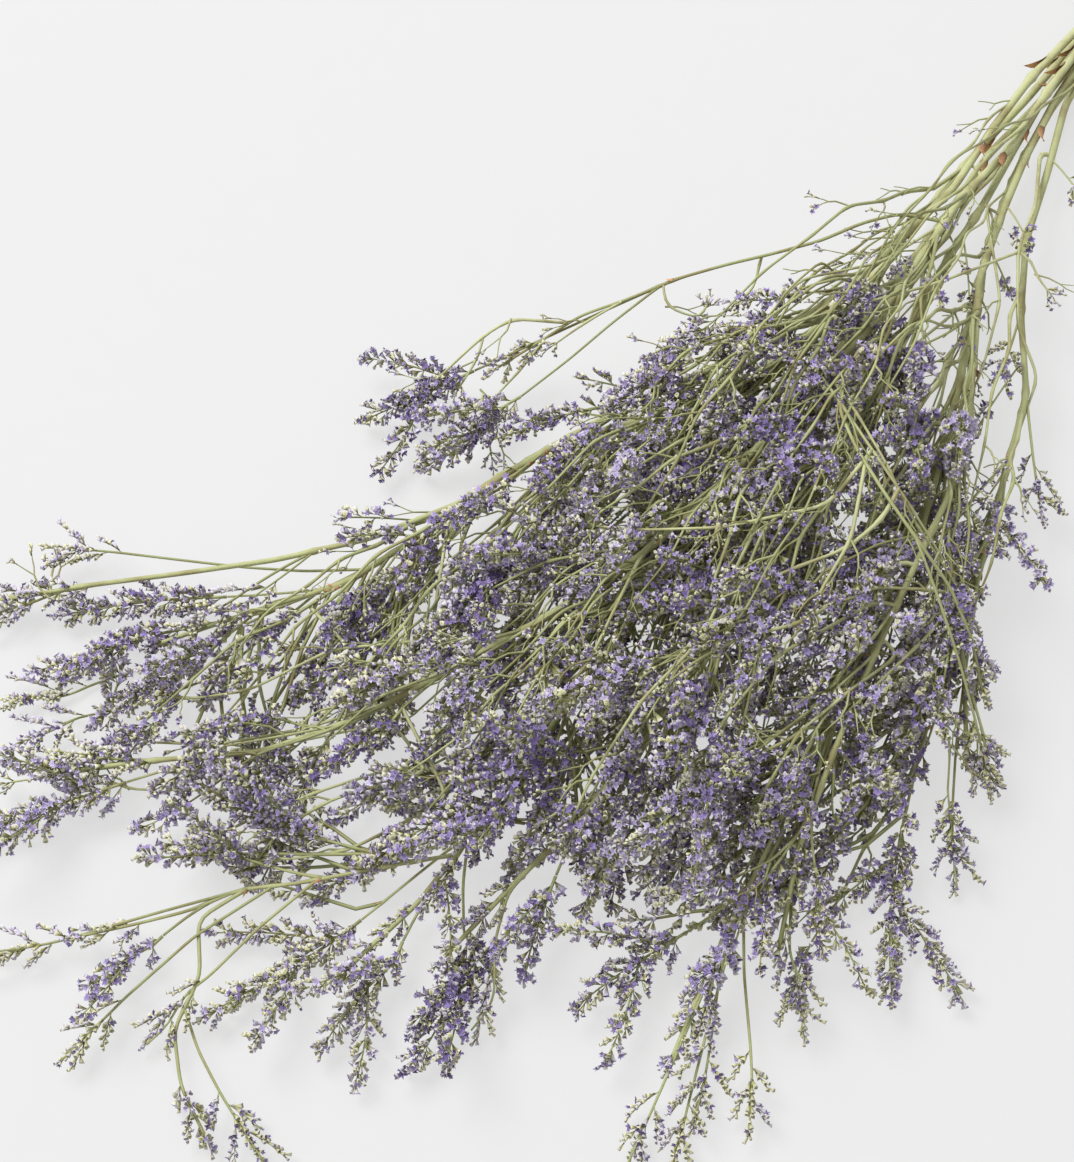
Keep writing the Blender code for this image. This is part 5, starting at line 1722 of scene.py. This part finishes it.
class StaticeSizes(bpy.types.PropertyGroup):
    calyx_length: FloatProperty(
        name="Calyx length", description="Length of one calyx", default=0.0044, unit="LENGTH")
    calyx_pitch: FloatProperty(
        name="Calyx pitch", description="Millimetres between two calyces of a spikelet",
        default=SPIKELET_PITCH, min=1.0)
    petal_spread: FloatProperty(
        name="Petal spread", description="Radius of an open corolla, as a share of the calyx length",
        default=0.44, min=0.1, max=0.8)
    spikelet_length: FloatProperty(
        name="Spikelet length", description="Length of the spikelets in the middle of a flower head",
        default=SPIKELET_REACH * MM, unit="LENGTH")
    spray_pitch: FloatProperty(
        name="Spikelet pitch", description="Millimetres between two spikelets of a flower head",
        default=SPRAY_PITCH, min=2.0)


class StaticeColours(bpy.types.PropertyGroup):
    stem_old: colour("Old stem", "Thick stems near the cut", (0.48, 0.49, 0.27))
    stem: colour("Stem", "Stems and branches", (0.38, 0.40, 0.185))
    stem_young: colour("Young stem", "Thin branchlets", (0.28, 0.31, 0.12))
    bract: colour("Bract", "Dried scales at the nodes", (0.50, 0.28, 0.15))
    pith: colour("Pith", "Inside of the cut stems", (0.62, 0.58, 0.38))
    calyx_foot: colour("Calyx foot", "Foot of a calyx", (0.13, 0.10, 0.04))
    calyx_tube: colour("Calyx tube", "Tube of a calyx", (0.30, 0.30, 0.13))
    calyx_mouth: colour("Calyx mouth", "Papery mouth of a calyx", (0.80, 0.77, 0.68))
    calyx_lilac: colour("Lilac calyx mouth", "Mouth of the calyces tinged with lilac", (0.70, 0.65, 0.78))
    violet_dark: colour("Dark violet", "Darkest petals", (0.16, 0.115, 0.28))
    violet: colour("Violet", "Most petals", (0.41, 0.33, 0.62))
    lavender: colour("Lavender", "Lightest petals", (0.72, 0.66, 0.85))
    cord: colour("Cord", "Jute cord of the tie", (0.42, 0.31, 0.17))
    # The floor's own colour is dark, because its painted glow gives most of its brightness.
    floor: colour("Floor", "Surface that the bunch lies on", (0.145, 0.145, 0.145))


class StaticeStage(bpy.types.PropertyGroup):
    azimuth: FloatProperty(
        name="Azimuth", description="Which way the camera looks, from +Y towards -X",
        default=math.radians(36.0), subtype="ANGLE")
    elevation: FloatProperty(
        name="Elevation", description="How far the camera looks down", default=math.radians(62.0),
        subtype="ANGLE")
    distance: FloatProperty(
        name="Distance", description="From the camera to the place that it looks at", default=1.10,
        unit="LENGTH")
    target: FloatVectorProperty(
        name="Target", description="The place that the camera looks at",
        default=(-0.0324, -0.46097, 0.04), subtype="XYZ", unit="LENGTH", size=3)
    lens: FloatProperty(
        name="Lens", description="Focal length in millimetres for a 36 mm sensor", default=81.14)
    key_power: FloatProperty(name="Key light", description="Power of the large soft light in watts",
                             default=145.0)
    fill_strength: FloatProperty(name="Surround", description="Strength of the even light all round",
                                 default=0.63)


# Operators

FLOOR_HALF = 4.0            # metres, as all of the stage
FLOOR_DROP = 0.0002
KEY_SIZE = 2.0
KEY_RIGHT = -1.6            # place of the light, seen from the camera, from what it looks at
KEY_AHEAD = 1.1
KEY_UP = 2.9


class STATICE_OT_stems(bpy.types.Operator):
    """Builds each cut stem with its branches, bracts, combs and side sprays"""
    bl_idname = "statice.stems"
    bl_label = "Stems"

    def execute(self, context):
        for letter in STEMS:
            build_stem(letter, context.scene.statice_sizes)
        return {"FINISHED"}


class STATICE_OT_heads(bpy.types.Operator):
    """Builds each flower head from spikelets of calyces and petals"""
    bl_idname = "statice.heads"
    bl_label = "Flower heads"

    def execute(self, context):
        for name in grown_plan().heads:
            build_head(name, context.scene.statice_sizes)
        return {"FINISHED"}


class STATICE_OT_tie(bpy.types.Operator):
    """Winds the cord of the tie"""
    bl_idname = "statice.tie"
    bl_label = "Tie"

    def execute(self, context):
        build_tie()
        return {"FINISHED"}


class STATICE_OT_stage(bpy.types.Operator):
    """Sets the floor, the lights and the camera"""
    bl_idname = "statice.stage"
    bl_label = "Stage"

    def execute(self, context):
        scene = context.scene
        stage = scene.statice_stage

        def add(name, data):
            made = bpy.data.objects.new(name, data)
            scene.collection.objects.link(made)
            return made

        mesh = bpy.data.meshes.new("floor")
        corners = ((-1, -1), (1, -1), (1, 1), (-1, 1))
        mesh.from_pydata([(FLOOR_HALF * x, FLOOR_HALF * y, 0) for x, y in corners], [], [(0, 1, 2, 3)])
        mesh.materials.append(finishes()["floor"])
        floor = add("floor", mesh)
        floor.location.z = -FLOOR_DROP

        target = np.array(stage.target)
        right = np.array([math.cos(stage.azimuth), math.sin(stage.azimuth), 0.0])
        ahead = np.array([-math.sin(stage.azimuth), math.cos(stage.azimuth), 0.0])
        back = UP * math.sin(stage.elevation) - ahead * math.cos(stage.elevation)
        lens = bpy.data.cameras.new("camera")
        lens.lens = stage.lens
        lens.clip_start, lens.clip_end = 0.05, 20.0
        camera = add("camera", lens)
        camera.location = target + back * stage.distance
        camera.rotation_euler = (math.pi / 2 - stage.elevation, 0.0, stage.azimuth)
        scene.camera = camera

        light = bpy.data.lights.new("key", "AREA")
        light.shape = "SQUARE"
        light.size = KEY_SIZE
        light.energy = stage.key_power
        key = add("key", light)
        place = target + right * KEY_RIGHT + ahead * KEY_AHEAD + UP * KEY_UP
        key.location = place
        key.rotation_euler = Vector(target - place).to_track_quat("-Z", "Y").to_euler()

        world = bpy.data.worlds.new("surround")
        world.use_nodes = True
        surround = world.node_tree.nodes["Background"]
        surround.inputs["Color"].default_value = (1.0, 1.0, 1.0, 1.0)
        surround.inputs["Strength"].default_value = stage.fill_strength
        scene.world = world
        scene.view_settings.view_transform = "Standard"
        return {"FINISHED"}


class STATICE_PT_panel(bpy.types.Panel):
    """Lists the steps and the settings"""
    bl_label = "Dried statice"
    bl_idname = "STATICE_PT_panel"
    bl_space_type = "VIEW_3D"
    bl_region_type = "UI"
    bl_category = "Statice"

    def draw(self, context):
        for step in STEPS:
            self.layout.operator(step.bl_idname)
        for group in GROUPS:
            box = self.layout.box()
            settings = getattr(context.scene, group)
            for name in settings.__annotations__:
                box.prop(settings, name)


STEPS = (STATICE_OT_stage, STATICE_OT_stems, STATICE_OT_heads, STATICE_OT_tie)
GROUPS = {"statice_sizes": StaticeSizes, "statice_colours": StaticeColours, "statice_stage": StaticeStage}


def register():
    for kind in (*GROUPS.values(), *STEPS, STATICE_PT_panel):
        bpy.utils.register_class(kind)
    for name, kind in GROUPS.items():
        setattr(bpy.types.Scene, name, PointerProperty(type=kind))


def unregister():
    for name in GROUPS:
        delattr(bpy.types.Scene, name)
    for kind in reversed((*GROUPS.values(), *STEPS, STATICE_PT_panel)):
        bpy.utils.unregister_class(kind)


def main():
    register()
    bpy.ops.statice.stage()
    bpy.ops.statice.stems()
    bpy.ops.statice.heads()
    bpy.ops.statice.tie()


if __name__ == "__main__":
    main()
